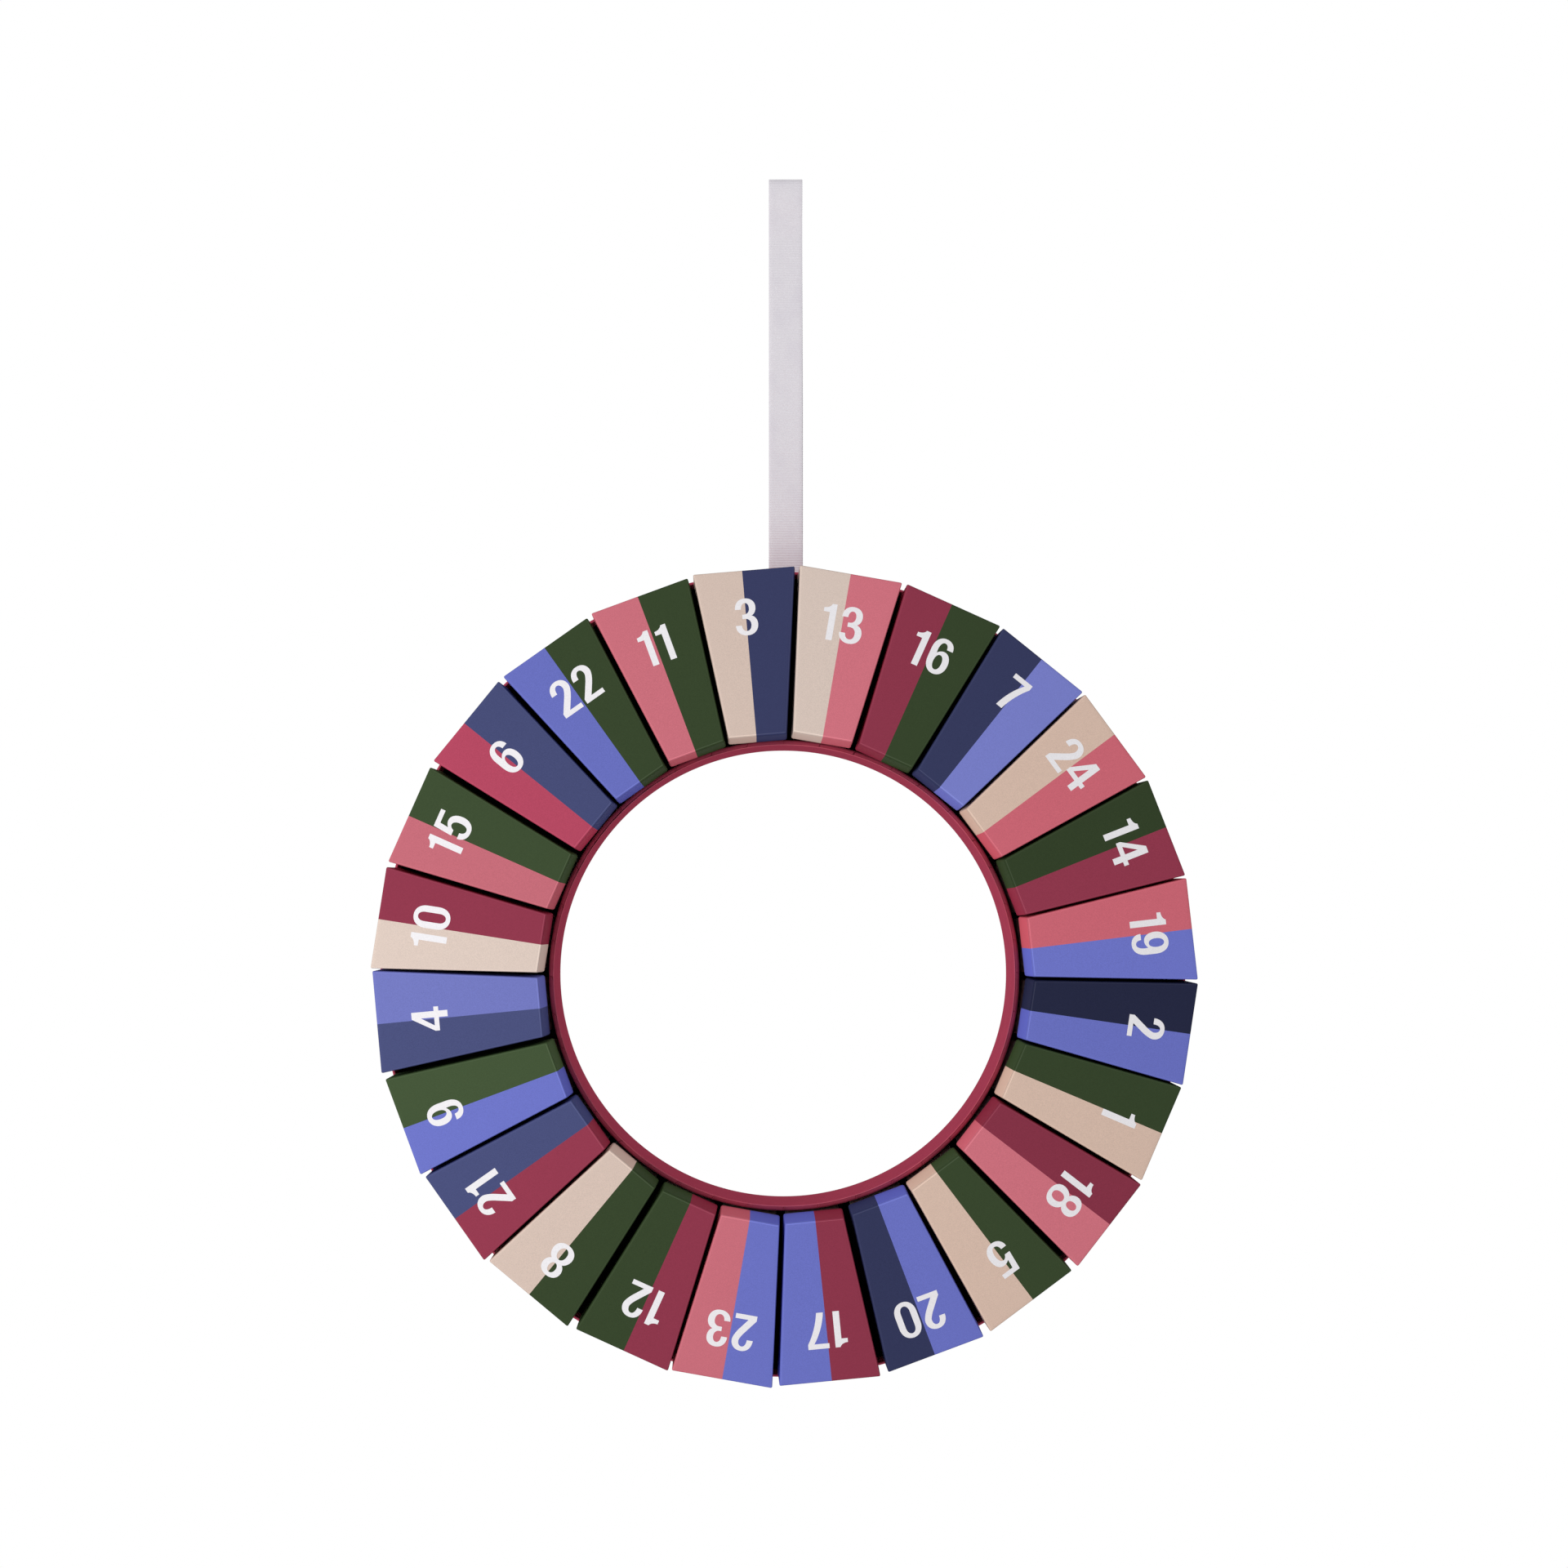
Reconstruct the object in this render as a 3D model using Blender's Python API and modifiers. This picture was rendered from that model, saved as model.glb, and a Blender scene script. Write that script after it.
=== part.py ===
"""Advent calendar wreath: twenty-four lidded boxes that stand in a ring-shaped tray hung from a ribbon.

The frame's origin is the point where a hook carries the ribbon, at the inside top of its loop. +Z is up, +X
is to the right of someone who faces the wreath, and the box fronts face -Y. A lid comes off its cup along -Y.
"""

import math

import bmesh
import bpy

MM = 0.001

# General fits
REST_GAP = 0.3 * MM
CUT_PAST = 1.0 * MM
ROUND_STEPS = 120
SHARP_ANGLE = math.radians(40)

# Ring of board that is the tray's floor, and its margin past the boxes' outer ends
BOARD_MARGIN = 2.7 * MM
BOARD_THICK = 2.5 * MM

# Walls of the tray: the inner one goes on to the back of the liner, the outer one stands on the board
TRAY_DEPTH = 30.0 * MM
INNER_WALL_RADIUS = 110.5 * MM
INNER_WALL_THICK = 2.6 * MM
INNER_WALL_ROUND = 0.9 * MM
OUTER_WALL_THICK = 1.3 * MM
OUTER_WALL_ROUND = 0.45 * MM
RIM_STEPS = 3

# Ring that closes the back, with a pocket for the ribbon's ends
LINER_SET_IN = 1.0 * MM
LINER_FLOOR = 1.5 * MM
POCKET_SIDE_GAP = 0.5 * MM
POCKET_END_GAP = 1.0 * MM

# Ribbon: one length, folded double, with a round loop for the hook
RIBBON_WIDTH = 16.6 * MM
RIBBON_THICK = 0.5 * MM
RIBBON_LAYER_GAP = 0.4 * MM
LOOP_RADIUS = 4.0 * MM
LOOP_LENGTH = 30.0 * MM
LOOP_AHEAD = 2.2 * MM
RIBBON_DROP = 198.4 * MM
RIBBON_BEHIND_BOARD = 26.0 * MM
LOOP_ARC_STEPS = 8
LOOP_SIDE_STEPS = 10

# Boxes: length along the ring's radius, depth of the lids, and the gaps to the inner wall and between two boxes
BOX_LENGTH = 76.8 * MM
LID_DEPTH = 28.5 * MM
BOX_TO_WALL = 0.6 * MM
BOX_GAP = 2.54 * MM
SIDE_FLARE = 0.45 * MM

# Card that the lids and cups are folded from
CARD_THICK = 0.6 * MM
FOLD_RADIUS = 0.65 * MM
FOLD_STEPS = 3
LID_CLEARANCE = 0.35 * MM
END_TAPER = 0.7 * MM

# The boxes clockwise from the top: number, card colours of the anticlockwise and clockwise halves, how far
# the box is set off its regular place, and how far its outer end swings out of line, both clockwise. They are
# set by hand, and these last two are shares of the gap between two boxes.
BOX_SHARES = [
    ("03", "beige", "navy", 0.90, 0.41),
    ("13", "beige", "pink", 0.99, 0.14),
    ("16", "burgundy", "green", 1.10, -0.16),
    ("07", "navy", "violet", 0.90, -0.23),
    ("24", "beige", "pink", 0.48, -0.21),
    ("14", "green", "burgundy", 0.16, -0.07),
    ("19", "pink", "violet", -0.31, 0.11),
    ("02", "navy", "violet", -0.64, 0.21),
    ("01", "green", "beige", -1.11, 0.31),
    ("18", "burgundy", "pink", -1.37, 0.24),
    ("05", "green", "beige", -1.09, 0.28),
    ("20", "violet", "navy", -0.69, 0.65),
    ("17", "burgundy", "violet", -0.03, 0.48),
    ("23", "violet", "pink", 0.24, 0.61),
    ("12", "burgundy", "green", -0.08, 0.48),
    ("08", "green", "beige", 0.42, 0.41),
    ("21", "burgundy", "navy", 0.10, 0.56),
    ("09", "violet", "green", -0.16, 0.60),
    ("04", "navy", "violet", 0.00, 0.54),
    ("10", "beige", "burgundy", -0.42, 0.32),
    ("15", "pink", "green", -0.31, 0.34),
    ("06", "crimson", "navy", 0.21, 0.24),
    ("22", "violet", "green", 0.50, 0.41),
    ("11", "pink", "green", 0.69, 0.27),
]
BOX_STEP = 2 * math.pi / len(BOX_SHARES)
HALF_WEDGE = BOX_STEP / 2
FIRST_PLACE = math.radians(-6.4)

# Finishes, as red, green, blue and roughness
FINISH_SHARES = {
    "board_paper": (0.350, 0.045, 0.085, 0.60),
    "liner_paper": (0.300, 0.040, 0.075, 0.70),
    "ribbon_weave": (0.780, 0.740, 0.780, 0.70),
    "cup_card": (0.600, 0.570, 0.520, 0.80),
    "card_beige": (0.686, 0.558, 0.474, 0.55),
    "card_pink": (0.571, 0.145, 0.191, 0.55),
    "card_crimson": (0.462, 0.065, 0.117, 0.55),
    "card_burgundy": (0.275, 0.042, 0.080, 0.55),
    "card_violet": (0.159, 0.178, 0.527, 0.55),
    "card_navy": (0.041, 0.047, 0.133, 0.55),
    "card_green": (0.034, 0.058, 0.024, 0.55),
}

# Levels along Y that follow from the sizes above. The hook's middle lies at zero and the ribbon's straight
# run behind it, so that the loop keeps clear of a wall.
RIBBON_HALF_STACK = RIBBON_THICK + RIBBON_LAYER_GAP / 2
BOARD_BACK = LOOP_AHEAD - RIBBON_HALF_STACK - REST_GAP
BOARD_FRONT = BOARD_BACK - BOARD_THICK
LINER_FRONT = BOARD_BACK + REST_GAP
POCKET_FLOOR = LOOP_AHEAD + RIBBON_HALF_STACK + REST_GAP
LINER_BACK = POCKET_FLOOR + LINER_FLOOR
TRAY_RIM = BOARD_FRONT - TRAY_DEPTH
BOX_DEPTH = TRAY_DEPTH + LID_DEPTH
BOX_FRONT = BOARD_FRONT - BOX_DEPTH

# Radii, widths and lengths that follow, from the inner wall outwards
INNER_WALL_OUTSIDE = INNER_WALL_RADIUS + INNER_WALL_THICK
RING_HOLE_RADIUS = INNER_WALL_OUTSIDE + REST_GAP
BOX_OUTER_END_RADIUS = INNER_WALL_OUTSIDE + BOX_TO_WALL + BOX_LENGTH
BOX_OUTER_WIDTH = 2 * BOX_OUTER_END_RADIUS * math.tan(HALF_WEDGE) - BOX_GAP / math.cos(HALF_WEDGE)
CUP_INSET = CARD_THICK + LID_CLEARANCE
BOARD_RADIUS = BOX_OUTER_END_RADIUS + BOARD_MARGIN
LINER_RADIUS = BOARD_RADIUS - LINER_SET_IN
WREATH_BELOW_HOOK = RIBBON_DROP + BOARD_RADIUS
RIBBON_END = -(RIBBON_DROP + RIBBON_BEHIND_BOARD)


def clear_scene():
    for old in list(bpy.data.objects):
        bpy.data.objects.remove(old, do_unlink=True)


def make_collection(name):
    collection = bpy.data.collections.new(name)
    bpy.context.scene.collection.children.link(collection)
    return collection


def make_material(name):
    red, green, blue, roughness = FINISH_SHARES[name]
    material = bpy.data.materials.new(name)
    material.use_nodes = True
    shader = material.node_tree.nodes["Principled BSDF"]
    shader.inputs["Base Color"].default_value = (red, green, blue, 1.0)
    shader.inputs["Roughness"].default_value = roughness
    return material


def add_mesh(name, mesh, collection):
    placed = bpy.data.objects.new(name, mesh)
    collection.objects.link(placed)
    return placed


def mark_cutter(cutter):
    cutter.hide_render = True
    cutter.display_type = "WIRE"


def cut(target, cutter):
    boolean = target.modifiers.new("cut_" + cutter.name, "BOOLEAN")
    boolean.operation = "DIFFERENCE"
    boolean.solver = "EXACT"
    boolean.object = cutter


def final_mesh(source, name):
    """The object's mesh with its modifiers worked in."""
    bpy.context.view_layer.update()
    graph = bpy.context.evaluated_depsgraph_get()
    mesh = bpy.data.meshes.new_from_object(source.evaluated_get(graph))
    mesh.name = name
    return mesh


def turned_ring(name, profile, collection):
    """A ring round the wreath's middle. The profile lists (radius, level along Y) from the outer front."""
    mesh = bpy.data.meshes.new(name)
    points = [(radius, 0.0, -level) for radius, level in profile]
    edges = [(i, (i + 1) % len(points)) for i in range(len(points))]
    mesh.from_pydata(points, edges, [])
    ring = add_mesh(name, mesh, collection)
    screw = ring.modifiers.new("turn", "SCREW")
    screw.axis = "Z"
    screw.steps = ROUND_STEPS
    screw.render_steps = ROUND_STEPS
    screw.use_merge_vertices = True
    screw.merge_threshold = REST_GAP / 10
    ring.rotation_euler = (math.pi / 2, 0.0, 0.0)
    ring.location = (0.0, 0.0, -WREATH_BELOW_HOOK)
    return ring


def finish_round(ring):
    """Works the ring's modifiers in and shades it smooth, with its square edges kept sharp."""
    ring.data = final_mesh(ring, ring.name)
    ring.modifiers.clear()
    for face in ring.data.polygons:
        face.use_smooth = True
    ring.data.set_sharp_from_angle(angle=SHARP_ANGLE)


def flat_ring_profile(outer, inner, front, back):
    return [(outer, front), (outer, back), (inner, back), (inner, front)]


def wall_profile(outer, inner, back, rounding):
    """A wall up to the tray's rim, square at the back and rounded on both sides of its rim."""
    profile = []
    for step in range(RIM_STEPS + 1):
        turn = math.pi / 2 * step / RIM_STEPS
        radius = outer - rounding * (1 - math.sin(turn))
        profile.append((radius, TRAY_RIM + rounding * (1 - math.cos(turn))))
    profile.append((outer, back))
    profile.append((inner, back))
    for step in range(RIM_STEPS, -1, -1):
        turn = math.pi / 2 * step / RIM_STEPS
        radius = inner + rounding * (1 - math.sin(turn))
        profile.append((radius, TRAY_RIM + rounding * (1 - math.cos(turn))))
    return profile


def block(name, low, high, collection):
    mesh = bpy.data.meshes.new(name)
    shape = bmesh.new()
    bmesh.ops.create_cube(shape, size=1.0)
    for vertex in shape.verts:
        vertex.co = [low[i] if vertex.co[i] < 0 else high[i] for i in range(3)]
    shape.to_mesh(mesh)
    shape.free()
    return add_mesh(name, mesh, collection)


def box_outline(inset, depth):
    """Corners of a box's outline as (across, along), moved in by inset, at a depth behind its front panel."""
    corners = []
    for side, end in ((-1, 1), (1, 1), (1, -1), (-1, -1)):
        along = end * (BOX_LENGTH / 2 - inset)
        narrowing = (BOX_LENGTH / 2 - along) * math.tan(HALF_WEDGE)
        spread = SIDE_FLARE * min(depth, LID_DEPTH) / LID_DEPTH
        across = BOX_OUTER_WIDTH / 2 - narrowing - inset / math.cos(HALF_WEDGE) + spread
        corners.append((side * across, along))
    return corners


def box_loft(name, sections, collection):
    """A closed solid through sections listed front to back as (inset, depth behind the front panel)."""
    shape = bmesh.new()
    rings = []
    for inset, depth in sections:
        outline = box_outline(inset, depth)
        rings.append([shape.verts.new((x, depth - BOX_DEPTH, z)) for x, z in outline])
    shape.faces.new(rings[0])
    shape.faces.new(list(reversed(rings[-1])))
    for front, back in zip(rings, rings[1:]):
        for i in range(len(front)):
            j = (i + 1) % len(front)
            shape.faces.new((front[i], back[i], back[j], front[j]))
    bmesh.ops.recalc_face_normals(shape, faces=shape.faces)
    mesh = bpy.data.meshes.new(name)
    shape.to_mesh(mesh)
    shape.free()
    return add_mesh(name, mesh, collection)


def corner_notches(name, collection):
    """Four wedges that part a lid's end panels from its long sides, growing from the fold to the edge."""
    shape = bmesh.new()
    for side, end in ((-1, 1), (1, 1), (1, -1), (-1, -1)):
        narrowing = (BOX_LENGTH / 2 - end * (BOX_LENGTH / 2 - CARD_THICK / 2)) * math.tan(HALF_WEDGE)
        wall = BOX_OUTER_WIDTH / 2 - narrowing - CARD_THICK / math.cos(HALF_WEDGE)
        tip_depth = CARD_THICK
        foot_depth = LID_DEPTH + CUT_PAST
        tip = (wall - REST_GAP / 10, tip_depth)
        foot_in = (wall - END_TAPER * foot_depth / LID_DEPTH, foot_depth)
        foot_out = (wall + SIDE_FLARE * foot_depth / LID_DEPTH, foot_depth)
        corner = (wall, tip_depth)
        outside = end * (BOX_LENGTH / 2 + CUT_PAST)
        inside = end * (BOX_LENGTH / 2 - CARD_THICK - REST_GAP / 10)
        loops = []
        for along in (outside, inside):
            points = (tip, foot_in, foot_out, corner)
            loops.append([shape.verts.new((side * x, d - BOX_DEPTH, along)) for x, d in points])
        shape.faces.new(loops[0])
        shape.faces.new(list(reversed(loops[1])))
        for i in range(len(loops[0])):
            j = (i + 1) % len(loops[0])
            shape.faces.new((loops[0][i], loops[1][i], loops[1][j], loops[0][j]))
    bmesh.ops.recalc_face_normals(shape, faces=shape.faces)
    mesh = bpy.data.meshes.new(name)
    shape.to_mesh(mesh)
    shape.free()
    return add_mesh(name, mesh, collection)


def lid_pattern(collection):
    """One lid, open at the back, its front edges rounded as folded card is."""
    sections = []
    for step in range(FOLD_STEPS + 1):
        turn = math.pi / 2 * step / FOLD_STEPS
        sections.append((FOLD_RADIUS * (1 - math.sin(turn)), FOLD_RADIUS * (1 - math.cos(turn))))
    sections.append((0.0, LID_DEPTH - REST_GAP))
    lid = box_loft("lid_pattern", sections, collection)
    hollow_sections = [(CARD_THICK, CARD_THICK), (CARD_THICK, LID_DEPTH + CUT_PAST)]
    hollow = box_loft("lid_hollow", hollow_sections, collection)
    notches = corner_notches("lid_corner_notches", collection)
    cut(lid, hollow)
    cut(lid, notches)
    return lid, [hollow, notches]


def cup_pattern(collection):
    """One cup: a plain box that stands on the board and reaches up into its lid."""
    rim = CARD_THICK + REST_GAP
    foot = BOX_DEPTH - REST_GAP
    cup = box_loft("cup_pattern", [(CUP_INSET, rim), (CUP_INSET, LID_DEPTH), (CUP_INSET, foot)], collection)
    inset = CUP_INSET + CARD_THICK
    floor = foot - CARD_THICK
    hollow = box_loft("cup_hollow", [(inset, 0.0), (inset, LID_DEPTH), (inset, floor)], collection)
    cut(cup, hollow)
    return cup, [hollow]


def split_in_two_colours(mesh, left, right):
    """Parts the lid's faces along its middle line and gives each half its own card colour."""
    mesh.materials.clear()
    mesh.materials.append(left)
    mesh.materials.append(right)
    shape = bmesh.new()
    shape.from_mesh(mesh)
    everything = shape.verts[:] + shape.edges[:] + shape.faces[:]
    bmesh.ops.bisect_plane(shape, geom=everything, plane_co=(0.0, 0.0, 0.0), plane_no=(1.0, 0.0, 0.0))
    for face in shape.faces:
        face.material_index = 0 if face.calc_center_median().x < 0 else 1
    shape.to_mesh(mesh)
    shape.free()


def box_seat(step, set_share, turn_share):
    """Where a box's middle stands on the board, and its rotation about Y."""
    angle = FIRST_PLACE + BOX_STEP * step + BOX_GAP * set_share / BOX_OUTER_END_RADIUS
    facing = angle + BOX_GAP * turn_share / BOX_LENGTH
    end_x = BOX_OUTER_END_RADIUS * math.sin(angle)
    end_z = BOX_OUTER_END_RADIUS * math.cos(angle) - WREATH_BELOW_HOOK
    x = end_x - BOX_LENGTH / 2 * math.sin(facing)
    z = end_z - BOX_LENGTH / 2 * math.cos(facing)
    return (x, BOARD_FRONT, z), (0.0, facing, 0.0)


def ribbon_half(side):
    """Middle of one layer as (y, z), from the loop's top to its end. The side is -1 in front, 1 behind."""
    bend = LOOP_RADIUS + RIBBON_THICK / 2
    run = LOOP_AHEAD + side * (RIBBON_LAYER_GAP + RIBBON_THICK) / 2
    path = []
    for step in range(LOOP_ARC_STEPS + 1):
        turn = math.pi / 2 * (1 - step / LOOP_ARC_STEPS)
        path.append((side * bend * math.cos(turn), bend * math.sin(turn) - LOOP_RADIUS))
    for step in range(1, LOOP_SIDE_STEPS + 1):
        share = step / LOOP_SIDE_STEPS
        ease = share * share * (3 - 2 * share)
        y = side * bend + (run - side * bend) * ease
        path.append((y, -LOOP_RADIUS - (LOOP_LENGTH - LOOP_RADIUS) * share))
    path.append((run, RIBBON_END))
    return path


def ribbon_centreline():
    """The hairpin path of the ribbon's middle, from the front end over the hook to the back end."""
    front = ribbon_half(-1)
    back = ribbon_half(1)
    return list(reversed(front[1:])) + back


def offset_path(path, distance):
    """The path moved sideways by a distance, square to its own direction at each point."""
    moved = []
    for i, (y, z) in enumerate(path):
        before = path[max(i - 1, 0)]
        after = path[min(i + 1, len(path) - 1)]
        dy = after[0] - before[0]
        dz = after[1] - before[1]
        length = math.hypot(dy, dz)
        moved.append((y - dz / length * distance, z + dy / length * distance))
    return moved


def make_ribbon(collection):
    path = ribbon_centreline()
    outer = offset_path(path, RIBBON_THICK / 2)
    inner = offset_path(path, -RIBBON_THICK / 2)
    outline = outer + list(reversed(inner))
    curve = bpy.data.curves.new("ribbon_loop", "CURVE")
    curve.dimensions = "2D"
    curve.fill_mode = "BOTH"
    curve.extrude = RIBBON_WIDTH / 2
    spline = curve.splines.new("POLY")
    spline.points.add(len(outline) - 1)
    for point, (y, z) in zip(spline.points, outline):
        point.co = (y, z, 0.0, 1.0)
    spline.use_cyclic_u = True
    ribbon = bpy.data.objects.new("ribbon_loop", curve)
    ribbon.rotation_euler = (math.pi / 2, 0.0, math.pi / 2)
    collection.objects.link(ribbon)
    return ribbon


def main():
    clear_scene()
    wreath = make_collection("advent_calendar_wreath")
    cutters = make_collection("cutters")

    finish = {name: make_material(name) for name in FINISH_SHARES}

    # Tray and liner
    board_shape = flat_ring_profile(BOARD_RADIUS, RING_HOLE_RADIUS, BOARD_FRONT, BOARD_BACK)
    board = turned_ring("base_board", board_shape, wreath)
    board.data.materials.append(finish["board_paper"])

    inner_shape = wall_profile(INNER_WALL_OUTSIDE, INNER_WALL_RADIUS, LINER_BACK, INNER_WALL_ROUND)
    inner_wall = turned_ring("inner_wall", inner_shape, wreath)
    inner_wall.data.materials.append(finish["board_paper"])

    outer_wall_inside = BOARD_RADIUS - OUTER_WALL_THICK
    outer_foot = BOARD_FRONT - REST_GAP
    outer_shape = wall_profile(BOARD_RADIUS, outer_wall_inside, outer_foot, OUTER_WALL_ROUND)
    outer_wall = turned_ring("outer_wall", outer_shape, wreath)
    outer_wall.data.materials.append(finish["board_paper"])

    liner_shape = flat_ring_profile(LINER_RADIUS, RING_HOLE_RADIUS, LINER_FRONT, LINER_BACK)
    liner = turned_ring("back_liner", liner_shape, wreath)
    liner.data.materials.append(finish["liner_paper"])

    pocket_half = RIBBON_WIDTH / 2 + POCKET_SIDE_GAP
    pocket_low = (-pocket_half, LINER_FRONT - CUT_PAST, RIBBON_END - POCKET_END_GAP)
    pocket_high = (pocket_half, POCKET_FLOOR, BOARD_RADIUS + CUT_PAST - WREATH_BELOW_HOOK)
    pocket = block("ribbon_pocket", pocket_low, pocket_high, cutters)
    mark_cutter(pocket)
    cut(liner, pocket)

    for ring in (board, inner_wall, outer_wall, liner):
        finish_round(ring)

    # Ribbon
    ribbon = make_ribbon(wreath)
    ribbon.data.materials.append(finish["ribbon_weave"])

    # Boxes, each a cup on the board and a lid over it
    lid, lid_cutters = lid_pattern(cutters)
    cup, cup_cutters = cup_pattern(cutters)
    lid_mesh = final_mesh(lid, "lid")
    cup_mesh = final_mesh(cup, "cup")
    for cutter in [lid, cup, *lid_cutters, *cup_cutters]:
        mark_cutter(cutter)

    for step, (number, left, right, set_share, turn_share) in enumerate(BOX_SHARES):
        location, rotation = box_seat(step, set_share, turn_share)
        name = "box_" + number
        lid_copy = lid_mesh.copy()
        split_in_two_colours(lid_copy, finish["card_" + left], finish["card_" + right])
        new_lid = add_mesh(name + "_lid", lid_copy, wreath)
        new_lid.location = location
        new_lid.rotation_euler = rotation
        new_cup = add_mesh(name + "_cup", cup_mesh.copy(), wreath)
        new_cup.location = location
        new_cup.rotation_euler = rotation
        new_cup.data.materials.append(finish["cup_card"])

    bpy.data.meshes.remove(lid_mesh)
    bpy.data.meshes.remove(cup_mesh)


main()
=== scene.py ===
# %% [markdown]
# An advent calendar wreath, dressed for its portrait. The real object is a ring-shaped tray of covered board, hung
# from a folded ribbon. Twenty-four boxes stand in it: plain card cups glued to its floor, each under a lid folded
# from two-tone printed card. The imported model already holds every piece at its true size, so this lesson loads it
# as a fixed frame and builds the finer surface round it.

# %% Load the frame
import math
import random

import bmesh
import bpy
from mathutils import Matrix, Vector, noise


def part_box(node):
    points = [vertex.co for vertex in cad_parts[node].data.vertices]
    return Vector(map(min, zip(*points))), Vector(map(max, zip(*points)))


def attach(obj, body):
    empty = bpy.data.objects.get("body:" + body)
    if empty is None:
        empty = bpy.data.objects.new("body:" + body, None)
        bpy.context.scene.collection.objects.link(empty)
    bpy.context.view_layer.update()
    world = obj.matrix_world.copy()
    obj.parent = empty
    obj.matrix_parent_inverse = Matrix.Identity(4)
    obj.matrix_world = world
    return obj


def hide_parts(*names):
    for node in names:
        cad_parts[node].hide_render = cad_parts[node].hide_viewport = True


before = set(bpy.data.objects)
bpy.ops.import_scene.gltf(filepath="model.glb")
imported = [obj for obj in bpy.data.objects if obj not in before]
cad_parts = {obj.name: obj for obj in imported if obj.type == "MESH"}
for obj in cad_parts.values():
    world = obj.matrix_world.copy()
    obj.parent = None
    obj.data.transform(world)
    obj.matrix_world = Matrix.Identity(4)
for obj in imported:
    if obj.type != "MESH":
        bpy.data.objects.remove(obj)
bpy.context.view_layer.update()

MM = 0.001

# %% [markdown]
# The camera comes first, because every later choice is judged through it. The photograph looks straight at the
# wreath from about a metre away, but its picture is cropped so that the point straight ahead of the lens lies below
# the middle. A lens shift gives exactly that and keeps the fronts square to the picture.

# %% Camera
PHOTO_SIDE = 1920
AHEAD_X = 925
AHEAD_Y = 1122
SENSOR = 36.0
LENS = 49.21
CAMERA_PLACE = Vector((-0.0132, -1.0598, -0.3637))

camera_data = bpy.data.cameras.new("portrait_camera")
camera_data.sensor_width = SENSOR
camera_data.lens = LENS
camera_data.shift_x = (PHOTO_SIDE / 2 - AHEAD_X) / PHOTO_SIDE
camera_data.shift_y = (AHEAD_Y - PHOTO_SIDE / 2) / PHOTO_SIDE
camera = bpy.data.objects.new("portrait_camera", camera_data)
camera.location = CAMERA_PLACE
camera.rotation_euler = (math.pi / 2, 0.0, 0.0)
bpy.context.scene.collection.objects.link(camera)
bpy.context.scene.camera = camera
print("shift of the lens:", round(camera_data.shift_x, 4), round(camera_data.shift_y, 4))

# %% [markdown]
# Next, the frame is measured. The board gives the wreath's middle and the level on which the boxes stand, and the
# two walls and the liner give the other rings. Nothing below is typed twice: a piece that seats on another reads
# its place from here.

# %% Rings of the frame
board_low, board_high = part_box("base_board")
wall_low, wall_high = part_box("inner_wall")
_, liner_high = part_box("back_liner")
ribbon_low, ribbon_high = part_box("ribbon_loop")
lid_low, lid_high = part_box("box_01_lid")
cup_low, cup_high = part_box("box_01_cup")

MIDDLE = (board_low + board_high) / 2
BOARD_RADIUS = (board_high.x - board_low.x) / 2
WALL_OUTSIDE = (wall_high.x - wall_low.x) / 2
BOARD_FRONT = board_low.y
LINER_BACK = liner_high.y
TRAY_RIM = wall_low.y
LID_FRONT = lid_low.y
LID_DEPTH = lid_high.y - lid_low.y
CUP_DEPTH = cup_high.y - cup_low.y
print("wreath's middle:", [round(value, 4) for value in MIDDLE], "board radius:", round(BOARD_RADIUS, 4))

# %% [markdown]
# The boxes were glued down by hand, so no two stand quite alike. Each lid's own frame is therefore read from its
# node: the four corners of its front give the middle line, and from it the directions across, backwards and
# outwards. In that frame every lid is the same folded shape.

# %% A lid's own frame
FRONT_BAND = 0.8 * MM


def front_corners(node):
    """The four corners of a lid's front: outer and inner, each anticlockwise and clockwise."""
    points = [vertex.co for vertex in node.data.vertices if vertex.co.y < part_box(node.name)[0].y + FRONT_BAND]
    outward = sum(points, Vector()) / len(points) - MIDDLE
    outward = Vector((outward.x, 0.0, outward.z)).normalized()
    across = Vector((outward.z, 0.0, -outward.x))

    def corner(side, end):
        return max(points, key=lambda point: side * point.dot(across) + end * point.dot(outward)).copy()

    return corner(-1, 1), corner(1, 1), corner(-1, -1), corner(1, -1)


def lid_seat(node):
    """The matrix from a lid's own frame, whose origin is the middle of its front, to the world."""
    outer_left, outer_right, inner_left, inner_right = front_corners(node)
    outer = (outer_left + outer_right) / 2
    inner = (inner_left + inner_right) / 2
    outward = (outer - inner).normalized()
    outward = Vector((outward.x, 0.0, outward.z)).normalized()
    across = Vector((outward.z, 0.0, -outward.x))
    place = (outer + inner) / 2
    seat = Matrix((across, Vector((0.0, 1.0, 0.0)), outward)).transposed().to_4x4()
    seat.translation = (place.x, LID_FRONT, place.z)
    return seat


sample = front_corners(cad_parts["box_01_lid"])
outer_width = (sample[1] - sample[0]).length
inner_width = (sample[3] - sample[2]).length
outer_middle = (sample[0] + sample[1]) / 2
inner_middle = (sample[2] + sample[3]) / 2
BOX_LENGTH = (outer_middle - inner_middle).length
HALF_WEDGE = math.atan((outer_width - inner_width) / 2 / BOX_LENGTH)
print(f"a lid is {BOX_LENGTH / MM:.1f} mm long, {outer_width / MM:.1f} and {inner_width / MM:.1f} mm wide,",
      f"{LID_DEPTH / MM:.1f} mm deep")

# %% [markdown]
# Every finish below is worked out by shader nodes. Written as node calls alone, shader maths is hard to read, so
# one small class wraps a node's output: adding or multiplying two of them adds the Math node that does it. Any
# other node comes from one method, which takes the node's type, its settings and the values or links it needs.

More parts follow.
